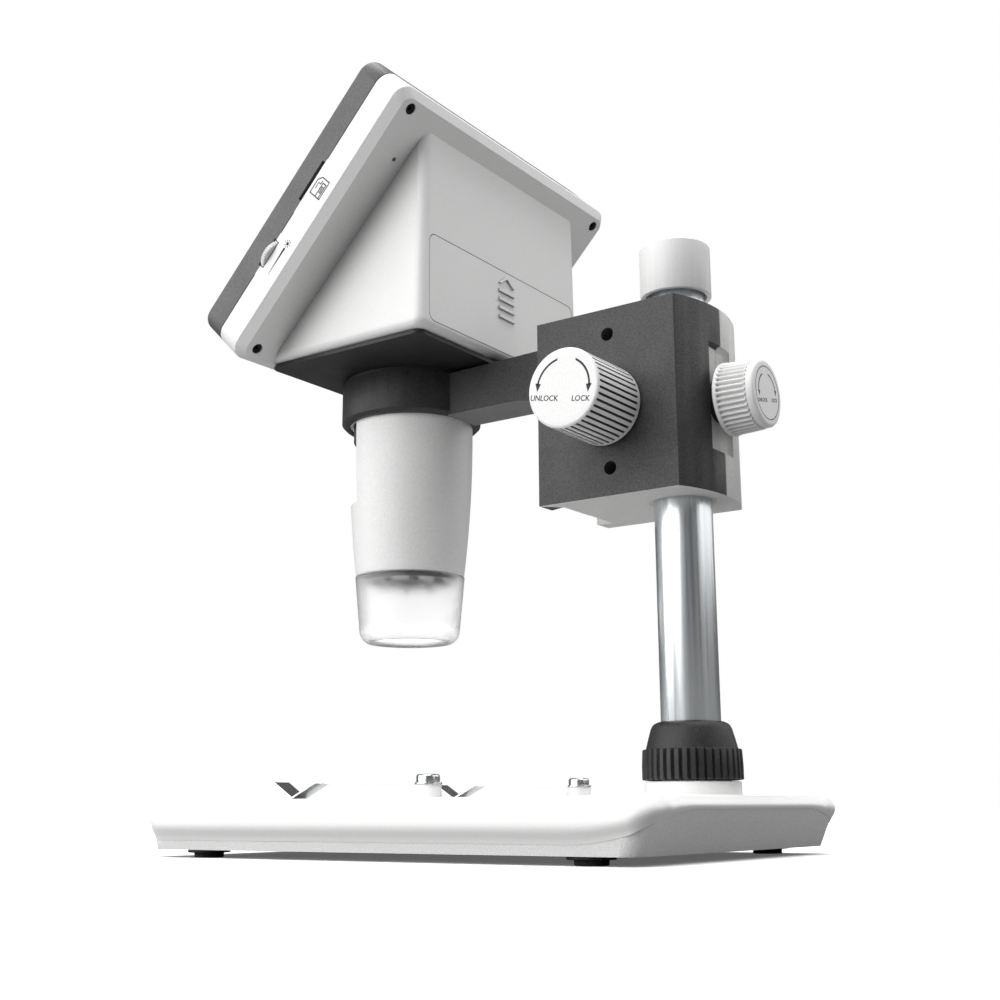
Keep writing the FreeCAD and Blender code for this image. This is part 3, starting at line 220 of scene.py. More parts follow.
def paint_hollow_shade(made, distance, shade):
    """Paint shade into a moulding's colour: darker down in its grooves and hollows, by ambient
    occlusion.
    """
    tree = made.node_tree
    colour = tree.nodes["Principled BSDF"].inputs["Base Color"]
    before = colour.links[0].from_socket
    hollow = tree.nodes.new("ShaderNodeAmbientOcclusion")
    hollow.inputs["Distance"].default_value = distance
    hollow.samples = 8
    spread = tree.nodes.new("ShaderNodeMapRange")
    spread.inputs["From Min"].default_value = 0.35
    spread.inputs["From Max"].default_value = 0.85
    spread.inputs["To Min"].default_value = shade
    tree.links.new(hollow.outputs["AO"], spread.inputs["Value"])
    mix = tree.nodes.new("ShaderNodeMix")
    mix.data_type = "RGBA"
    mix.blend_type = "MULTIPLY"
    mix.inputs["Factor"].default_value = 1.0
    tree.links.new(before, mix.inputs["A"])
    tree.links.new(spread.outputs["Result"], mix.inputs["B"])
    tree.links.new(mix.outputs["Result"], colour)


def soften(name, material, edge=0.00025, angle=32.0):
    """Give a CAD part its finish, and break its sharp edges as a mould does."""
    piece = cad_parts[name]
    piece.data.materials.clear()
    piece.data.materials.append(material)
    weld = piece.modifiers.new("weld", "WELD")
    weld.merge_threshold = 0.000002
    flat = piece.modifiers.new("flat", "DECIMATE")
    flat.decimate_type = "DISSOLVE"
    flat.angle_limit = math.radians(0.3)
    if edge:
        bevel = piece.modifiers.new("edge", "BEVEL")
        bevel.width = edge
        bevel.segments = 2
        bevel.limit_method = "ANGLE"
        bevel.angle_limit = math.radians(angle)
        bevel.harden_normals = True
    return piece


base_white = moulded("base_white", (0.80, 0.80, 0.795), (0.84, 0.84, 0.835), 0.42, 2400.0, 0.10)
tray_white = moulded("tray_white", (0.70, 0.70, 0.695), (0.80, 0.80, 0.795), 0.55, 2300.0, 0.5)
soften("base_tray", tray_white, 0.0005)


def grip_mesh(name, sections, ribs, steps, shape):
    """A turned body round +Z, whose radius drops in each groove between its ribs. A section is its
    height, its radius, and how deep the grooves are there."""
    mesh = bpy.data.meshes.new(name)
    build = bmesh.new()
    around = ribs * steps
    rings = []
    for height, radius, depth in sections:
        ring = []
        for index in range(around):
            turn = 2 * math.pi * index / around
            reach = radius - depth * shape(index % steps / steps)
            ring.append(build.verts.new((reach * math.cos(turn), reach * math.sin(turn), height)))
        rings.append(ring)
    for low, high in zip(rings, rings[1:]):
        for index in range(around):
            after = (index + 1) % around
            build.faces.new((low[index], low[after], high[after], high[index]))
    return mesh, build, rings


def join_spots(build):
    """Make one of points that lie together."""
    bmesh.ops.remove_doubles(build, verts=build.verts, dist=0.000001)


def close_ring(build, ring, inward):
    """A flat end face across a ring."""
    build.faces.new(ring if inward else list(reversed(ring)))


def finish_mesh(mesh, build, material, body, spot=None, turn=None, angle=35.0):
    """Turn built faces into a shown piece on its body."""
    bmesh.ops.recalc_face_normals(build, faces=build.faces)
    build.to_mesh(mesh)
    build.free()
    if turn is not None:
        mesh.transform(turn)
    if spot is not None:
        mesh.transform(Matrix.Translation(spot))
    mesh.shade_smooth()
    mesh.set_sharp_from_angle(angle=math.radians(angle))
    piece = bpy.data.objects.new(mesh.name, mesh)
    bpy.context.scene.collection.objects.link(piece)
    mesh.materials.append(material)
    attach(piece, body)
    return piece


# The shell's rounded rim follows the base's outline. Its lower edge rises round each rear corner
# and shows the tray's wall below it.
base_half, base_near, base_rear = 0.062, -0.09595, 0.08805
front_bend, rear_bend = 0.0080, 0.0065
tray_low, tray_high, side_lean, rear_lean = 0.0024, 0.0150, 0.0018, 0.0054
edge_low, edge_high, shell_top, shell_belly = 0.0053, 0.0140, 0.0175, 0.0098
rise_back, rise_side = 0.036, 0.064
rim_out, rim_in, bulge_start = 0.0007, 0.0042, 0.0035
edge_proud, low_edge, turn_least, turn_share = 0.00015, 0.012, 0.0020, 1.7
wall_in, wall_up, floor_in, floor_height = 0.0022, 0.0002, 0.0045, 0.0148
lean_clear = 0.003


def outline_spots(half, near, rear, near_bend, rear_bend, gap=0.003, steps=8):
    """Points and outward ways round a rectangle with round corners, from its rear middle."""
    spots = []
    for sign in (1, -1):
        run = []
        count = max(1, int((half - rear_bend) / gap))
        run += [((half - rear_bend) * i / count, rear, 0.0, 1.0) for i in range(count)]
        for i in range(steps):
            turn = math.pi / 2 * i / steps
            run.append((half - rear_bend + rear_bend * math.sin(turn),
                        rear - rear_bend + rear_bend * math.cos(turn),
                        math.sin(turn), math.cos(turn)))
        count = max(1, int((rear - rear_bend - near - near_bend) / gap))
        run += [(half, rear - rear_bend - (rear - rear_bend - near - near_bend) * i / count,
                 1.0, 0.0) for i in range(count)]
        for i in range(steps):
            turn = math.pi / 2 * i / steps
            run.append((half - near_bend + near_bend * math.cos(turn),
                        near + near_bend - near_bend * math.sin(turn),
                        math.cos(turn), -math.sin(turn)))
        count = max(1, int((half - near_bend) / gap))
        run += [((half - near_bend) * (1 - i / count), near, 0.0, -1.0) for i in range(count)]
        if sign < 0:
            run = [(-x, y, -nx, ny) for x, y, nx, ny in reversed(run[1:])]
            run.insert(0, (0.0, near, 0.0, -1.0))
        spots += run
    return spots


def smooth(share):
    """An S-shaped rise from 0 to 1."""
    share = min(1.0, max(0.0, share))
    return share * share * (3 - 2 * share)


def edge_height(x, y):
    """How high the shell's lower edge is: low along the sides, high across the back."""
    along_back = max(0.0, abs(x) - rise_back)
    along_side = max(0.0, base_rear - y)
    whole = base_half - rise_back + base_rear - rise_side
    return edge_high - (edge_high - edge_low) * smooth((along_back + along_side) / whole)


rim = outline_spots(base_half, base_near, base_rear, front_bend, rear_bend)
shell_build = bmesh.new()
rim_rings = []
rim_levels = 20
for level in range(rim_levels + 1):
    ring = []
    for x, y, nx, ny in rim:
        low = edge_height(x, y)
        share = level / rim_levels
        if low < low_edge:
            share = math.sin(math.pi / 2 * share)
        z = low + (shell_top - low) * share
        lean = (tray_high - z) / (tray_high - tray_low)
        tray_x, tray_y = -side_lean * lean, -(rear_lean if ny > 0 else side_lean) * lean
        if z < shell_belly:
            reach = rim_out * smooth((z - bulge_start) / (shell_belly - bulge_start))
        else:
            over = (z - shell_belly) / (shell_top - shell_belly)
            reach = rim_out - rim_in * (1 - math.sqrt(max(0.0, 1 - over * over)))
        fold_lean = (tray_high - low) / (tray_high - tray_low)
        fold_step = abs(nx) * side_lean + abs(ny) * (rear_lean if ny > 0 else side_lean)
        mix = smooth((z - low) / (turn_least + turn_share * fold_lean * fold_step))
        out_x = (tray_x + edge_proud) * (1 - mix) + reach * mix
        out_y = (tray_y + edge_proud) * (1 - mix) + reach * mix
        ring.append(shell_build.verts.new((x + nx * out_x, y + ny * out_y, z)))
    rim_rings.append(ring)
wall_ring = [shell_build.verts.new(
    (x - nx * wall_in, y - ny * (wall_in + (lean_clear if ny > 0 else 0.0)),
     edge_height(x, y) + wall_up)) for x, y, nx, ny in rim]
floor_ring = [shell_build.verts.new(
    (x - nx * floor_in, y - ny * (floor_in + (lean_clear if ny > 0 else 0.0)),
     floor_height)) for x, y, nx, ny in rim]
for low, high in zip([floor_ring, wall_ring] + rim_rings[:-1], [wall_ring] + rim_rings):
    for index in range(len(rim)):
        after = (index + 1) % len(rim)
        shell_build.faces.new((low[index], low[after], high[after], high[index]))
shell_build.faces.new(rim_rings[-1])
shell_build.faces.new(list(reversed(floor_ring)))
collar_spot = Vector((0, 0.06805, 0))
clip_side, clip_y = 0.0415, 0.00335


def turned_part(build, sides, spot, steps=64):
    """Add a turned shape round an upright axis at a spot."""
    rings = [[build.verts.new(Vector(spot) + Vector((
        radius * math.cos(2 * math.pi * i / steps), radius * math.sin(2 * math.pi * i / steps),
        height))) for i in range(steps)] for height, radius in sides]
    for low, high in zip(rings, rings[1:]):
        for i in range(steps):
            build.faces.new((low[i], low[(i + 1) % steps], high[(i + 1) % steps], high[i]))
    return rings


for side in (-1, 1):
    post = turned_part(shell_build, [
        (0.0172, 0.0043), (0.0175, 0.0042), (0.0178, 0.00395), (0.0210, 0.00395),
        (0.0213, 0.00375)], (side * clip_side, clip_y, 0))
    shell_build.faces.new(post[-1])
    shell_build.faces.new(list(reversed(post[0])))
turned_part(shell_build, [
    (0.0172, 0.0145), (0.0175, 0.0143), (0.0179, 0.0139), (0.0213, 0.0139), (0.0216, 0.0136),
    (0.0216, 0.0092), (0.0172, 0.0092), (0.0172, 0.0145)], collar_spot)
join_spots(shell_build)
shell = finish_mesh(bpy.data.meshes.new("base_shell_moulded"), shell_build, base_white,
                    "base", angle=40.0)
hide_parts("base_shell")


# FEET, BALLAST AND TRAY SCREWS
# Moulded rubber feet are glued to the tray. A zinc-plated steel plate inside keeps the stand from
# tipping, and plated self-tapping screws close the base.
def plated(name, dark, light, roughness, scale, stretch=(1.0, 1.0, 1.0), depth=0.06):
    """Metal whose shine varies a little in fine lines or grains."""
    made = new_material(name, light, roughness, 1.0)
    tree = made.node_tree
    lines = noise(tree, scale, 3.0, stretch)
    tint(tree, lines, dark, light, 0.2, 0.8)
    vary(tree, lines, roughness - 0.06, roughness + 0.06,
         tree.nodes["Principled BSDF"].inputs["Roughness"])
    relief(tree, lines, depth, 0.0001)
    return made


rubber = moulded("rubber", (0.012, 0.012, 0.012), (0.03, 0.03, 0.03), 0.85, 900.0, 0.5)
zinc = plated("zinc_plate", (0.42, 0.43, 0.45), (0.62, 0.63, 0.65), 0.35, 60.0)
screw_steel = plated("screw_steel", (0.35, 0.35, 0.36), (0.55, 0.55, 0.57), 0.3, 400.0)
soften("rubber_feet", rubber, 0.0003)
soften("ballast_plate", zinc)
soften("tray_screws", screw_steel, 0.0001)

# STAGE CLIPS AND THEIR NUTS
# Each clip is a strip of polished spring steel, bent to press on a slide. A turned and nickelled
# nut holds it on a short post of the base.
spring_steel = plated("spring_steel", (0.50, 0.51, 0.52), (0.78, 0.79, 0.80), 0.22, 500.0,
                      (6.0, 0.15, 1.0))
nickel = plated("nickel", (0.66, 0.68, 0.70), (0.78, 0.80, 0.82), 0.24, 700.0, (0.1, 0.1, 6.0),
                0.01)
soften("left_stage_clip", spring_steel, 0.00008)
soften("right_stage_clip", spring_steel, 0.00008)

# COLUMN
# A drawn aluminium tube, satin anodised, so its reflections run along it with soft edges.
# A white moulded cap closes its top.
anodised = plated("anodised", (0.70, 0.73, 0.75), (0.76, 0.79, 0.81), 0.30, 1200.0,
                  (1.0, 1.0, 0.01), 0.004)
soften("column_tube", anodised, 0.0003)
soften("column_cap", base_white, 0.0003)


# RING NUT
# A black moulded nut with a smooth cone above thirty-eight grip ribs. Turned down, it squeezes the
# split collet on the column.
black_abs = moulded("black_abs", (0.030, 0.030, 0.032), (0.062, 0.062, 0.065), 0.55, 2300.0, 0.5)
nut_low, nut_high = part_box("ring_nut")
column_spot = Vector(((nut_low.x + nut_high.x) / 2, (nut_low.y + nut_high.y) / 2, 0))
nut_radius = (nut_high.x - nut_low.x) / 2
nut_height = nut_high.z - nut_low.z
nut_bore, nut_mouth = 0.01135, 0.00905
mouth_deep, cone_deep = 0.0025, 0.0045
nut_ribs = 38


def rib_round(share):
    """A broad rib with a narrow round groove beside it."""
    return max(0.0, 1.0 - abs(share - 0.5) * 4.4) ** 0.6


nut_sides = [(0.025, 1.0, 0.0009), (0.25, 1.0, 0.0009), (0.515, 0.985, 0.0009),
             (0.527, 0.975, 0.0009), (0.530, 0.945, 0.0004), (0.533, 0.915, 0.0),
             (0.70, 0.865, 0.0), (0.88, 0.805, 0.0), (0.93, 0.775, 0.0), (0.965, 0.735, 0.0),
             (0.99, 0.675, 0.0), (1.0, 0.635, 0.0)]
nut_mesh, nut_build, _ = grip_mesh("ring_nut_ribbed", [
    (nut_low.z + nut_height * share, nut_radius * reach, deep) for share, reach, deep in nut_sides
] + [
    (nut_high.z, nut_mouth, 0), (nut_high.z - mouth_deep, nut_mouth, 0),
    (nut_high.z - cone_deep, nut_bore, 0), (nut_low.z, nut_bore, 0),
    (nut_low.z, nut_radius - 0.0016, 0), (nut_low.z + 0.0002, nut_radius - 0.0003, 0.0009),
    (nut_low.z + nut_height * 0.025, nut_radius, 0.0009)], nut_ribs, 8, rib_round)
join_spots(nut_build)
black_nylon = moulded("black_nylon", (0.010, 0.010, 0.011), (0.026, 0.026, 0.028), 0.5, 2400.0, 0.5)
ring_nut = finish_mesh(nut_mesh, nut_build, black_nylon, "ring_nut", column_spot)
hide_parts("ring_nut")

# CLIP NUTS
# Plain round nuts, turned and nickelled, with a small step below and a soft top edge. They are
# screwed on the base's two posts over the clips' eyes.
nut_round = [(0.0, 0.0017, 0), (0.0, 0.0031, 0), (0.00015, 0.00325, 0), (0.0003, 0.00325, 0),
             (0.0004, 0.00345, 0), (0.0018, 0.00345, 0), (0.0021, 0.0034, 0), (0.0024, 0.0032, 0),
             (0.00255, 0.0029, 0), (0.0026, 0.0025, 0), (0.0026, 0.0006, 0), (0.0022, 0.0005, 0)]
nut_seat = 0.0217
nuts_build = bmesh.new()
for side in (-1, 1):
    one_mesh, one_build, one_rings = grip_mesh("clip_nut", nut_round, 12, 4, rib_round)
    close_ring(one_build, one_rings[0], True)
    close_ring(one_build, one_rings[-1], False)
    one_build.to_mesh(one_mesh)
    one_build.free()
    one_mesh.transform(Matrix.Translation((side * clip_side, clip_y, nut_seat)))
    nuts_build.from_mesh(one_mesh)
    bpy.data.meshes.remove(one_mesh)
clip_nuts = finish_mesh(bpy.data.meshes.new("clip_nuts_turned"), nuts_build, nickel,
                        "base")
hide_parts("clip_nuts")

# CARRIAGE
# Two ABS halves meet at a plane through the column: black on the user's right and light grey on
# the left. Two long screws hold them, and a grey bush inside runs on the column.
light_abs = moulded("light_abs", (0.60, 0.60, 0.59), (0.72, 0.72, 0.71), 0.55, 2300.0, 0.5)
nylon = moulded("nylon", (0.50, 0.50, 0.48), (0.58, 0.58, 0.56), 0.5, 700.0, 0.1)
brass = plated("brass", (0.55, 0.40, 0.16), (0.75, 0.58, 0.28), 0.3, 500.0)
soften("carriage_shell_right", black_abs, 0.0005)
soften("carriage_shell_left", light_abs, 0.0005)
soften("carriage_screws", screw_steel, 0.0001)
soften("column_bush", nylon)
soften("clamp_shoe", nylon, 0.0001)
soften("lock_insert", brass, 0.0001)
soften("clamp_nut", brass, 0.0001)


# LOCK KNOBS
# White ABS knobs with forty grip ribs, a plain rim next to the carriage and a soft front edge.
# Each face is pad printed with turning arrows and words.
def groove_narrow(share):
    """A flat land with a narrow groove."""
    return 1.0 if share < 0.29 else 0.0


def groove_wave(share):
    """A rounded rib with a rounded groove."""
    return 0.5 + 0.5 * math.cos(2 * math.pi * share)


def quarter(height, radius, bend, steps=6):
    """The soft edge of an end face, from the side up to the face."""
    spots = []
    for step in range(1, steps + 1):
        turn = math.pi / 2 * step / steps
        spots.append((height - bend + bend * math.sin(turn),
                      radius - bend + bend * math.cos(turn), 0.0))
    return spots


knob_white = moulded("knob_white", (0.78, 0.78, 0.775), (0.84, 0.84, 0.835), 0.40, 1600.0, 0.08)
# Painted shade: the knobs' white is darkened down in their grooves.
paint_hollow_shade(knob_white, 0.0016, 0.10)
knob_ribs = 40
toward_x = Matrix(((0, 0, 1), (1, 0, 0), (0, 1, 0))).to_4x4()
toward_y = Matrix(((-1, 0, 0), (0, 0, 1), (0, 1, 0))).to_4x4()
side_low, side_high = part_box("side_lock_knob")
side_radius = (side_high.z - side_low.z) / 2
side_length = side_high.x - side_low.x
side_spot = Vector((side_low.x, (side_low.y + side_high.y) / 2, (side_low.z + side_high.z) / 2))
groove_deep = 0.0011
side_front = side_radius - 0.0002
side_mesh, side_build, side_rings = grip_mesh("side_knob_ribbed", [
    (0.0, side_radius - 0.0020, 0), (0.0, side_radius - 0.0005, 0), (0.0005, side_radius, 0),
    (0.0018, side_radius, 0), (0.00195, side_radius, groove_deep),
    (side_length * 0.5, side_radius - 0.0001, groove_deep),
    (side_length - 0.0016, side_front, groove_deep),
    (side_length - 0.0011, side_front, groove_deep * 0.6),
] + quarter(side_length, side_front, 0.0009) + [
    (side_length, side_radius - 0.0030, 0)], knob_ribs, 10, groove_narrow)
close_ring(side_build, side_rings[0], True)
close_ring(side_build, side_rings[-1], False)
side_knob = finish_mesh(side_mesh, side_build, knob_white, "side_knob",
                        side_spot, toward_x)
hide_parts("side_lock_knob")
rear_low, rear_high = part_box("rear_lock_knob")
rear_rim = 0.0112
rear_nose = 0.0103
rear_length = rear_high.y - rear_low.y
rear_spot = Vector(((rear_low.x + rear_high.x) / 2, rear_low.y, (rear_low.z + rear_high.z) / 2))
cap_line = rear_length - 0.0026
rear_mesh, rear_build, rear_rings = grip_mesh("rear_knob_ribbed", [
    (0.0, rear_rim - 0.0020, 0), (0.0, rear_rim - 0.0005, 0), (0.0004, rear_rim, 0),
    (0.0013, rear_rim, 0), (0.0017, rear_rim - 0.0002, 0.0007),
    (cap_line - 0.0008, rear_nose + 0.0003, 0.0007),
    (cap_line - 0.0002, rear_nose + 0.0002, 0.0005), (cap_line, rear_nose - 0.0003, 0),
    (cap_line + 0.0003, rear_nose - 0.0002, 0), (cap_line + 0.0006, rear_nose, 0),
] + quarter(rear_length, rear_nose, 0.0012) + [
    (rear_length, rear_nose - 0.0030, 0)], knob_ribs, 8, groove_wave)
close_ring(rear_build, rear_rings[0], True)
close_ring(rear_build, rear_rings[-1], False)
rear_knob = finish_mesh(rear_mesh, rear_build, knob_white, "rear_knob",
                        rear_spot, toward_y)
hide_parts("rear_lock_knob")
soften("lock_stud", black_abs)
soften("clamp_bolt", screw_steel)

print_ink = moulded("print_ink", (0.010, 0.010, 0.010), (0.020, 0.020, 0.020), 0.6, 2500.0, 0.1)
ink_lift = 0.00003


def stroke(build, spots, width, closed=False):
    """A line of ink along flat points, mitred at its corners."""
    count = len(spots)
    edges = []
    for index in range(count):
        here = Vector(spots[index])
        before = Vector(spots[index - 1]) if closed or index else None
        after = Vector(spots[(index + 1) % count]) if closed or index < count - 1 else None
        ways = [(here - before).normalized() if before is not None else None,
                (after - here).normalized() if after is not None else None]
        ways = [way for way in ways if way is not None]
        mean = sum(ways, Vector((0, 0))).normalized()
        side = Vector((-mean.y, mean.x))
        reach = width / 2 / max(0.4, abs(side.dot(Vector((-ways[0].y, ways[0].x)))))
        edges.append([build.verts.new((*(here + side * reach * sign), 0.0)) for sign in (1, -1)])
    for index in range(count if closed else count - 1):
        first, second = edges[index], edges[(index + 1) % count]
        build.faces.new((first[0], first[1], second[1], second[0]))


def patch(build, spots):
    """A flat area of ink."""
    build.faces.new([build.verts.new((x, y, 0.0)) for x, y in spots])


def arc_spots(radius, first, last, steps, centre=(0.0, 0.0)):
    """Points along an arc, from one angle to another in degrees."""
    return [(centre[0] + radius * math.cos(math.radians(first + (last - first) * i / steps)),
             centre[1] + radius * math.sin(math.radians(first + (last - first) * i / steps)))
            for i in range(steps + 1)]


def words_into(build, text, height, centre):
    """Flat letters, centred on a point."""
    curve = bpy.data.curves.new("words", "FONT")
    curve.body = text
    curve.size = height
    curve.offset = height * 0.012
    curve.align_x = "CENTER"
    curve.align_y = "CENTER"
    curve.resolution_u = 3
    holder = bpy.data.objects.new("words", curve)
    bpy.context.scene.collection.objects.link(holder)
    flat = bpy.data.meshes.new_from_object(
        holder.evaluated_get(bpy.context.evaluated_depsgraph_get()))
    flat.transform(Matrix.Translation((*centre, 0.0)))
    build.from_mesh(flat)
    bpy.data.objects.remove(holder)
    bpy.data.curves.remove(curve)
    bpy.data.meshes.remove(flat)


def print_on(name, build, spot, along, up, body):
    """Lay flat ink on a surface, a hair proud of it."""
    outward = Vector(along).cross(Vector(up)).normalized()
    turn = Matrix((Vector(along), Vector(up), outward)).transposed().to_4x4()
    mesh = bpy.data.meshes.new(name)
    thick = bmesh.ops.extrude_face_region(build, geom=build.faces[:])
    bmesh.ops.translate(build, vec=(0.0, 0.0, ink_lift),
                        verts=[v for v in thick["geom"] if isinstance(v, bmesh.types.BMVert)])
    return finish_mesh(mesh, build, print_ink, body,
                       Vector(spot) - outward * ink_lift * 0.2, turn)


def lock_print(name, radius, spot, along, up, body, ring_line=None):
    """Two tapering arrows from the top of the face, with the words that they point to."""
    build = bmesh.new()
    sweep = radius * 0.72
    tail, neck, wing_turn, tip_turn = 71.0, 4.0, math.radians(7.0), math.radians(-9.0)
    for sign, word, middle in ((-1, "UNLOCK", -0.485), (1, "LOCK", 0.54)):
        outer = arc_spots(sweep + radius * 0.030, tail, neck, 16)
        inner = arc_spots(sweep - radius * 0.020, neck, tail - 3.0, 16)
        patch(build, [(sign * x, y) for x, y in outer + inner][::sign])
        tip = sweep * math.cos(tip_turn), sweep * math.sin(tip_turn)
        wings = [((sweep + radius * reach) * math.cos(wing_turn),
                  (sweep + radius * reach) * math.sin(wing_turn)) for reach in (-0.08, 0.08)]
        patch(build, [(sign * x, y) for x, y in (wings[0], tip, wings[1])][::sign])
        words_into(build, word, radius * 0.19, (radius * middle, radius * -0.27))
    if ring_line:
        stroke(build, arc_spots(ring_line, 0.0, 360.0 * 63 / 64, 63), radius * 0.03, True)
    return print_on(name, build, spot, along, up, body)


side_print, rear_print = math.radians(10.0), math.radians(12.0)
lock_print("side_knob_print", side_radius, side_spot + Vector((side_length, 0, 0)),
           (0, math.cos(side_print), -math.sin(side_print)),
           (0, math.sin(side_print), math.cos(side_print)), "side_knob")
lock_print("rear_knob_print", rear_nose * 0.80, rear_spot + Vector((0, rear_length, 0)),
           (-math.cos(rear_print), 0, math.sin(rear_print)),
           (math.sin(rear_print), 0, math.cos(rear_print)), "rear_knob", rear_nose * 0.78)

# KNOB HUB
# The rear knob is moulded round a black nylon hub, which closes the gap to the carriage and turns
# with the knob.
hub_long, hub_bore, hub_radius = 0.0036, 0.0050, 0.0066
hub_mesh, hub_build, _ = grip_mesh("rear_knob_hub", [
    (0.0, hub_bore, 0), (0.0, hub_radius - 0.0004, 0), (0.0003, hub_radius, 0),
    (hub_long, hub_radius, 0), (hub_long, hub_bore, 0), (0.0, hub_bore, 0)], 12, 4, groove_wave)
join_spots(hub_build)
finish_mesh(hub_mesh, hub_build, black_nylon, "rear_knob",
            rear_spot - Vector((0, hub_long, 0)), toward_y)

# CARRIAGE UNDERSIDE AND POCKET: PAINTED LIGHT
# The light grey ABS of the left half is laid as a thin layer over the black half's downward faces
# and over the pocket's face behind the rear knob. Both layers are painted light: they stand in for
# light thrown up from the table onto the underside, and for the pocket being lit more than the
# shell.
def skin(name, node, wanted, lift, material, body):
    """A thin layer over those faces of a node that pass a test of their middle and way."""
    source = bmesh.new()
    source.from_mesh(bpy.data.objects[node].data)
    source.normal_update()
    others = [face for face in source.faces
              if not wanted(face.calc_center_median(), face.normal)]
    bmesh.ops.delete(source, geom=others, context="FACES")
    bmesh.ops.remove_doubles(source, verts=source.verts, dist=0.000002)
    source.normal_update()
    way = sum((face.normal * face.calc_area() for face in source.faces), Vector()).normalized()
    for vert in source.verts:
        vert.co += way * lift
    thick = bmesh.ops.extrude_face_region(source, geom=source.faces[:])
    for element in thick["geom"]:
        if isinstance(element, bmesh.types.BMVert):
            element.co -= way * lift * 0.8
    return finish_mesh(bpy.data.meshes.new(name), source, material, body)


skin_lift = 0.00008
carriage_underlight_z, carriage_underlight_y = 0.1055, 0.036
skin("carriage_floor", "carriage_shell_right",
     lambda middle, way: way.z < -0.9 and middle.z < carriage_underlight_z and middle.y > carriage_underlight_y,
     skin_lift, light_abs, "carriage")
pocket_y, pocket_z, pocket_tall, pocket_side = 0.0806, 0.1337, 0.018, 0.0095
skin("pocket_lining", "carriage_shell_right",
     lambda middle, way: way.y > 0.9 and abs(middle.y - pocket_y) < 0.0006
     and abs(middle.z - pocket_z) < pocket_tall and middle.x < pocket_side,
     skin_lift, light_abs, "carriage")

# ARM
# One black ABS moulding: a ring round the barrel's neck, a bar, and a dovetail plate that the
# carriage's two halves clamp. A thin greyer layer over the plate's lower faces is painted light:
# it stands in for light thrown up from the table below.
arm_black = moulded("arm_black", (0.020, 0.020, 0.022), (0.045, 0.045, 0.048), 0.5, 2300.0, 0.5)
arm_grey = moulded("arm_grey", (0.16, 0.16, 0.16), (0.26, 0.26, 0.26), 0.5, 2300.0, 0.5)
soften("arm", arm_black, 0.0005)
arm_underlight_z, arm_underlight_y = 0.150, -0.016
skin("arm_strap", "arm",
     lambda middle, way: way.z < -0.9 and middle.z < arm_underlight_z and arm_underlight_y < middle.y,
     skin_lift, arm_grey, "arm")

# BARREL, FOCUS WHEEL AND OPTICS
# A white tapered tube with a recess at the user's side, where the knurled wheel shows. The lens
# and its black tube stand inside, below the sensor board.
barrel_white = moulded("barrel_white", (0.77, 0.77, 0.765), (0.83, 0.83, 0.825), 0.40, 1500.0, 0.12)
solder_green = moulded("solder_green", (0.010, 0.075, 0.030), (0.020, 0.16, 0.06), 0.3, 600.0, 0.15)
coated_glass = new_material("coated_glass", (0.75, 0.80, 1.0), 0.02)
coated_glass.node_tree.nodes["Principled BSDF"].inputs["Transmission Weight"].default_value = 1.0
relief(coated_glass.node_tree, noise(coated_glass.node_tree, 50.0), 0.02, 0.0001)
barrel_spot = Vector((0.0, -0.03755, 0.0))
barrel_low, barrel_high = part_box("barrel")
window_low, window_high, window_from, window_to = 0.1165, 0.1452, -157.0, -23.0
wheel_low, wheel_high, wheel_radius = 0.1390, 0.1458, 0.0201


def side_radius_at(node, middle, height):
    """How wide a turned node is at a height."""
    hit = bpy.data.objects[node].ray_cast(
        middle + Vector((0.08, 0.0, height)), Vector((-1.0, 0.0, 0.0)))
    return hit[1].x - middle.x


barrel_bore, bend, run_gap, barrel_steps = 0.0166, 0.0004, 0.0002, 48
heights = [barrel_low.z + bend + (barrel_high.z - barrel_low.z - 2 * bend) * i / barrel_steps
           for i in range(barrel_steps + 1)]
barrel_sides = [(barrel_low.z, side_radius_at("barrel", barrel_spot, heights[0]) - bend)]
barrel_sides += [(height, side_radius_at("barrel", barrel_spot, height)) for height in heights]
barrel_sides += [
    (barrel_high.z, barrel_sides[-1][1] - bend), (barrel_high.z, barrel_bore),
    (wheel_high + run_gap, barrel_bore), (wheel_high + run_gap, wheel_radius + run_gap),
    (wheel_low - run_gap, wheel_radius + run_gap), (wheel_low - run_gap, barrel_bore),
    (barrel_low.z, barrel_bore), barrel_sides[0]]


def carved(form, tool):
    """What is left of one mesh when another is cut out of it."""
    holders = []
    for mesh in (form, tool):
        holder = bpy.data.objects.new(mesh.name, mesh)
        bpy.context.scene.collection.objects.link(holder)
        holders.append(holder)
    cutting = holders[0].modifiers.new("cut", "BOOLEAN")
    cutting.operation = "DIFFERENCE"
    cutting.solver = "EXACT"
    cutting.object = holders[1]
    left = bpy.data.meshes.new_from_object(
        holders[0].evaluated_get(bpy.context.evaluated_depsgraph_get()))
    for holder in holders:
        bpy.data.objects.remove(holder)
    bpy.data.meshes.remove(form)
    bpy.data.meshes.remove(tool)
    return left


barrel_build = bmesh.new()
turned_part(barrel_build, barrel_sides, barrel_spot, 96)
join_spots(barrel_build)
bmesh.ops.recalc_face_normals(barrel_build, faces=barrel_build.faces)
barrel_form = bpy.data.meshes.new("barrel_form")
barrel_build.to_mesh(barrel_form)
barrel_build.free()
window_build = bmesh.new()
window_rows = []
for height in (window_low, window_high):
    row = [window_build.verts.new(barrel_spot + Vector((x, y, height))) for x, y in
           arc_spots(0.0170, window_from, window_to, 24)
           + arc_spots(0.0250, window_to, window_from, 24)]
    window_rows.append(row)
for index in range(len(window_rows[0])):
    after = (index + 1) % len(window_rows[0])
    window_build.faces.new((window_rows[0][index], window_rows[0][after],
                            window_rows[1][after], window_rows[1][index]))
window_build.faces.new(window_rows[1])
window_build.faces.new(list(reversed(window_rows[0])))
bmesh.ops.recalc_face_normals(window_build, faces=window_build.faces)
window_form = bpy.data.meshes.new("window_form")
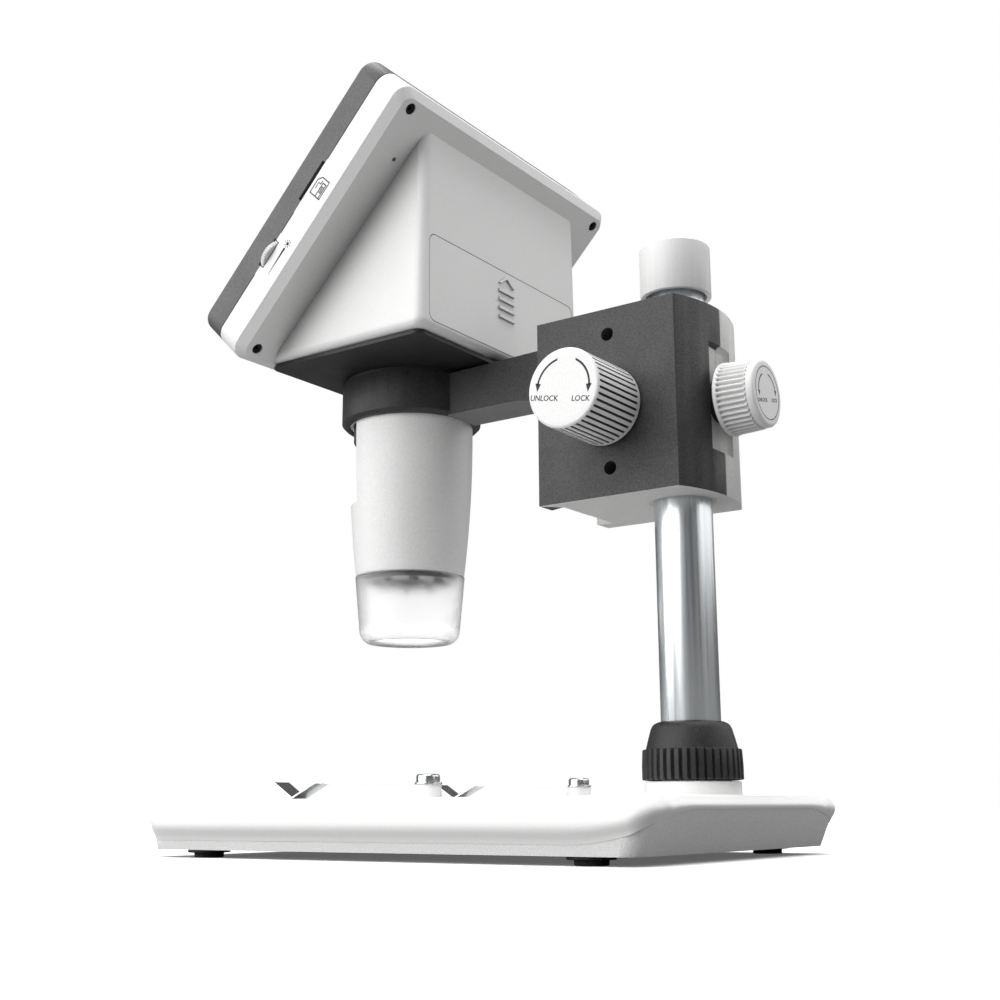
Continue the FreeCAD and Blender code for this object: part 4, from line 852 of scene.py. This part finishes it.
window_build.to_mesh(window_form)
window_build.free()
barrel_build = bmesh.new()
barrel_left = carved(barrel_form, window_form)
barrel_build.from_mesh(barrel_left)
bpy.data.meshes.remove(barrel_left)
barrel = finish_mesh(bpy.data.meshes.new("barrel_moulded"), barrel_build, barrel_white,
                     "head")
barrel_edge = barrel.modifiers.new("edge", "BEVEL")
barrel_edge.width = 0.0004
barrel_edge.segments = 3
barrel_edge.limit_method = "ANGLE"
barrel_edge.angle_limit = math.radians(50)
barrel_edge.harden_normals = True
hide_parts("barrel")
wheel_bore, knurl, wheel_grooves = 0.0176, 0.0004, 70
wheel_mesh, wheel_build, _ = grip_mesh("focus_wheel_knurled", [
    (wheel_low, wheel_bore, 0), (wheel_low, wheel_radius - 0.0005, 0),
    (wheel_low + knurl, wheel_radius, knurl), (wheel_high - knurl, wheel_radius, knurl),
    (wheel_high, wheel_radius - 0.0005, 0), (wheel_high, wheel_bore, 0),
    (wheel_low, wheel_bore, 0)], wheel_grooves, 6, groove_wave)
join_spots(wheel_build)
focus_wheel = finish_mesh(wheel_mesh, wheel_build, black_abs, "focus_wheel",
                          barrel_spot)
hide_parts("focus_wheel")
soften("lens_tube", black_abs, 0.0002)
soften("objective_lens", coated_glass, 0)
soften("sensor_mount", black_abs, 0.0001)
soften("sensor_board", solder_green, 0.0001)
board_black = moulded("board_black", (0.012, 0.012, 0.012), (0.03, 0.03, 0.03), 0.4, 600.0, 0.1)
soften("led_board", board_black, 0)

# CLEAR CUP
# A water-clear acrylic cup clips on the barrel. It lets the lamps light the specimen, and its
# lower edge sets the working distance. Its inside is lightly frosted to spread the light.
cup_clear = new_material("cup_clear", (0.98, 0.985, 0.99), 0.27)
cup_tree = cup_clear.node_tree
cup_shader = cup_tree.nodes["Principled BSDF"]
cup_shader.inputs["Transmission Weight"].default_value = 1.0
cup_shader.inputs["IOR"].default_value = 1.40
# Painted shade: the cup's colour greys where its surface turns away from the view, towards its
# outline.
cup_edge_shade = cup_tree.nodes.new("ShaderNodeLayerWeight")
cup_edge_shade.inputs["Blend"].default_value = 0.35
tint(cup_tree, cup_edge_shade.outputs["Facing"], (0.99, 0.99, 0.99), (0.42, 0.42, 0.43), 0.45, 1.0)
relief(cup_tree, noise(cup_tree, 2600.0), 0.35, 0.0002)
soften("clear_cup", cup_clear, 0)

# DISPLAY CASE
# The white back shell, with its bevelled rim and the hollow wedge that joins it to the barrel, is
# one moulding. A dark bezel holds the glass in front, and four long screws go in from behind.
case_white = moulded("case_white", (0.79, 0.79, 0.785), (0.83, 0.83, 0.825), 0.45, 2300.0, 0.2)
door_white = moulded("door_white", (0.79, 0.79, 0.785), (0.83, 0.83, 0.825), 0.45, 2300.0, 0.2)
# Painted shade: the back shell's white darkens where other surfaces stand close, as round the
# wedge, and the door's white darkens beside its ridges and arrow.
paint_hollow_shade(case_white, 0.05, 0.42)
paint_hollow_shade(door_white, 0.0022, 0.12)
bezel_dark = moulded("bezel_dark", (0.075, 0.075, 0.078), (0.11, 0.11, 0.113), 0.50, 1400.0, 0.25)
soften("back_shell", case_white, 0.0005)
soften("front_bezel", bezel_dark, 0.0003)
black_oxide = plated("black_oxide", (0.02, 0.02, 0.02), (0.05, 0.05, 0.05), 0.45, 500.0)
soften("case_screws", black_oxide, 0.0001)
soften("main_board", solder_green, 0.0001)
soften("button_board", solder_green, 0.0001)

# UNDERSIDE PLATE
# A black moulded plate closes the wedge from below. Its round neck sits in the arm's ring and turns
# there with the head.
soften("underside_plate", black_nylon, 0.0004)

# SCREEN
# A sheet of glass, tinted dark, lies in the bezel's step. The liquid crystal panel is seated behind
# it, switched off.
glass_dark = new_material("glass_dark", (0.02, 0.022, 0.028), 0.04)
glass_shader = glass_dark.node_tree.nodes["Principled BSDF"]
glass_shader.inputs["Coat Weight"].default_value = 1.0
glass_shader.inputs["Coat Roughness"].default_value = 0.03
vary(glass_dark.node_tree, noise(glass_dark.node_tree, 25.0), 0.03, 0.07,
     glass_shader.inputs["Roughness"])
panel_black = moulded("panel_black", (0.012, 0.012, 0.016), (0.02, 0.02, 0.026), 0.2, 300.0, 0.02)
soften("screen_glass", glass_dark, 0.0002)
soften("lcd_panel", panel_black, 0.0001)

# CASE CONTROLS AND SOCKETS
# A thumb wheel in the right side sets the lamps, beside the card slot. Tinned steel sockets for
# the card and the charging plug are soldered to the main board.
tinned = plated("tinned", (0.55, 0.55, 0.56), (0.75, 0.75, 0.77), 0.25, 300.0)
wheel_grey = moulded("wheel_grey", (0.60, 0.60, 0.595), (0.68, 0.68, 0.675), 0.45, 1500.0, 0.1)
# Painted shade: the thumb wheel's grey is darkened down in its knurl.
paint_hollow_shade(wheel_grey, 0.0008, 0.4)
case_spot = Vector((0.0, -0.127 + 0.06805, 0.1636))
case_tilt = math.radians(44.0)
case_up = Vector((0.0, math.sin(case_tilt), math.cos(case_tilt)))
case_out = Vector((0.0, -math.cos(case_tilt), math.sin(case_tilt)))


def in_case(x, up, out):
    """A point given in the tilted case's own directions, in millimetres."""
    return case_spot + (Vector((1, 0, 0)) * x + case_up * up + case_out * out) / 1000.0


disc_radius, disc_thick, disc_bore, disc_grooves = 0.00665, 0.0022, 0.00158, 44
disc_middle = in_case(57.15, 28.2, 12.3 - 1.1)
disc_mesh, disc_build, _ = grip_mesh("brightness_wheel_knurled", [
    (0.0, disc_bore, 0), (0.0, disc_radius - 0.0006, 0), (0.0003, disc_radius - 0.0001, 0.0002),
    (disc_thick / 2, disc_radius, 0.0003), (0.0019, disc_radius - 0.0001, 0.0002),
    (disc_thick, disc_radius - 0.0006, 0), (disc_thick, disc_bore, 0), (0.0, disc_bore, 0)],
    disc_grooves, 6, groove_wave)
join_spots(disc_build)
case_turn = Matrix((Vector((1, 0, 0)), case_up, case_out)).transposed().to_4x4()
thumb_wheel = finish_mesh(disc_mesh, disc_build, wheel_grey,
                          "brightness_wheel", disc_middle, case_turn)
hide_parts("brightness_wheel")
soften("dimmer", black_abs, 0.0001)
soften("card_socket", tinned, 0.0001)
soften("usb_socket", tinned, 0.0001)

sun_build = bmesh.new()
sun_radius, ray_from, ray_to, ray_wide = 0.00058, 0.00085, 0.00140, 0.00028
patch(sun_build, arc_spots(sun_radius, 0.0, 345.0, 23))
for ray in range(8):
    turn = math.radians(45.0 * ray)
    stroke(sun_build, [(reach * math.cos(turn), reach * math.sin(turn))
                       for reach in (ray_from, ray_to)], ray_wide)
case_side = 62.0
print_on("sun_print", sun_build, in_case(case_side, 34.9, 7.2), -case_out, case_up, "head")
wedge_build = bmesh.new()
wedge_half, wedge_wide, wedge_narrow = 0.0052, 0.00045, 0.00006
patch(wedge_build, [(-wedge_wide, wedge_half), (-wedge_narrow, -wedge_half),
                    (wedge_narrow, -wedge_half), (wedge_wide, wedge_half)])
print_on("wedge_print", wedge_build, in_case(case_side, 28.0, 7.3), -case_out, case_up, "head")
card_build = bmesh.new()
ink_wide = 0.00040
stroke(card_build, [(-0.0027, -0.0032), (0.0027, -0.0032), (0.0027, 0.0032), (-0.0012, 0.0032),
                    (-0.0027, 0.0017)], ink_wide, True)
stroke(card_build, [(-0.0016, -0.0012), (-0.0016, 0.0011), (-0.0004, 0.0011),
                    (-0.0004, 0.0024)], ink_wide * 0.8)
stroke(card_build, [(0.0003, -0.0032), (0.0003, 0.0018), (0.0020, 0.0018), (0.0020, -0.0032)],
       ink_wide)
for line_x in (0.0008, 0.00115, 0.0015):
    stroke(card_build, [(line_x, -0.0016), (line_x, 0.0009)], ink_wide * 0.55)
print_on("card_print", card_build, in_case(case_side, 55.8, 8.6), -case_out, case_up, "head")

# CASE JOINT AND SCREW HOLES
# A black band, laid a hair proud round the case where the bezel meets the back shell, is painted
# shade: it stands in for the shadow in the seam. Black rubber plugs sit in the four screw holes.
gap_black = moulded("gap_black", (0.004, 0.004, 0.004), (0.008, 0.008, 0.008), 0.8, 900.0, 0.1)
joint_low, joint_high, joint_proud, joint_deep = 12.50, 12.85, 0.03, 0.1
case_rim = [(x * 1000, y * 1000, nx, ny) for x, y, nx, ny in
            outline_spots(0.062, -0.006, 0.0984, 0.0055, 0.0055, 0.004)]
joint_build = bmesh.new()
right_openings, left_openings, case_flank = ((22.8, 33.4), (48.0, 63.5)), ((51.0, 65.0),), 61.9


def over_opening(x, up):
    """Whether a case opening crosses the joint here."""
    spans = right_openings if x > case_flank else left_openings if x < -case_flank else ()
    return any(low < up < high for low, high in spans)


for index in range(len(case_rim)):
    here, after = case_rim[index], case_rim[(index + 1) % len(case_rim)]
    if over_opening(here[0], here[1]) or over_opening(after[0], after[1]):
        continue
    corners = [[joint_build.verts.new(in_case(x + nx * proud, up + ny * proud, out))
                for proud, out in ((joint_proud, joint_low), (joint_proud, joint_high),
                                   (-joint_deep, joint_high), (-joint_deep, joint_low))]
               for x, up, nx, ny in (here, after)]
    for side in range(4):
        near = (side + 1) % 4
        joint_build.faces.new((corners[0][side], corners[0][near], corners[1][near],
                               corners[1][side]))
join_spots(joint_build)
finish_mesh(bpy.data.meshes.new("case_joint"), joint_build, gap_black, "head")
screw_side, screw_pitch = 55.15, 92.65
plug_steps = 32
plug_sides = ((0.0004, 0.00186), (0.0007, 0.0014), (0.0009, 0.0007), (0.0020, 0.0007),
              (0.0020, 0.00186))
plug_build = bmesh.new()
for x in (-1, 1):
    for up in (0.0, screw_pitch):
        turn = case_turn.copy()
        turn.translation = in_case(x * screw_side, up, 0.0)
        rings = [[plug_build.verts.new(turn @ Vector((
            radius * math.cos(math.tau * i / plug_steps),
            radius * math.sin(math.tau * i / plug_steps), depth))) for i in range(plug_steps)]
            for depth, radius in plug_sides]
        for low, high in zip(rings, rings[1:] + rings[:1]):
            for i in range(plug_steps):
                after = (i + 1) % plug_steps
                plug_build.faces.new((low[i], low[after], high[after], high[i]))
finish_mesh(bpy.data.meshes.new("screw_plugs"), plug_build, gap_black, "head")

# BUTTONS
# Six caps of dark ABS in a row under the glass, each on its own switch. Their white symbols are
# pad printed.
button_dark = moulded("button_dark", (0.045, 0.045, 0.048), (0.075, 0.075, 0.078), 0.4, 1500.0, 0.2)
symbol_white = moulded("symbol_white", (0.70, 0.70, 0.70), (0.80, 0.80, 0.80), 0.5, 2500.0, 0.05)
symbol_line, camera_line = 0.0003, 0.00028
button_names = ("power", "menu", "left", "right", "ok", "photo")
button_pitch, button_row = 15.5, 12.0
button_face = 23.9
for index, name in enumerate(button_names):
    soften(name + "_button", button_dark, 0)
    symbol = bmesh.new()
    if name == "power":
        stroke(symbol, arc_spots(0.0015, 120.0, 420.0, 20), symbol_line)
        stroke(symbol, [(0.0, 0.0004), (0.0, 0.0020)], symbol_line)
    elif name == "menu":
        for row in (-0.0011, 0.0, 0.0011):
            stroke(symbol, [(-0.0015, row), (0.0015, row)], symbol_line)
    elif name in ("left", "right"):
        way = -1 if name == "left" else 1
        patch(symbol, [(way * 0.0015, 0.0), (-way * 0.0010, 0.0015),
                       (-way * 0.0010, -0.0015)][::way])
    elif name == "ok":
        words_into(symbol, "OK", 0.0030, (0.0, 0.0))
    else:
        stroke(symbol, [(-0.0018, -0.0012), (0.0018, -0.0012), (0.0018, 0.0010), (0.0009, 0.0010),
                        (0.0006, 0.0015), (-0.0006, 0.0015), (-0.0009, 0.0010),
                        (-0.0018, 0.0010)], camera_line, True)
        stroke(symbol, arc_spots(0.0007, 0.0, 337.5, 15, (0.0, -0.0001)), 0.00026, True)
    mark = print_on(name + "_symbol", symbol,
                    in_case((index - 2.5) * button_pitch, button_row, button_face),
                    Vector((1, 0, 0)), case_up, name + "_button")
    mark.data.materials.clear()
    mark.data.materials.append(symbol_white)

# BATTERY DOOR AND BATTERY
# A thin white lid in the wedge's back, with four finger ridges and an arrow. A flat cell in
# printed film lies behind it.
cell_film = moulded("cell_film", (0.05, 0.08, 0.13), (0.08, 0.11, 0.18), 0.3, 200.0, 0.05)
soften("battery_door", door_white, 0.00015)
soften("battery_pack", cell_film, 0.0008)
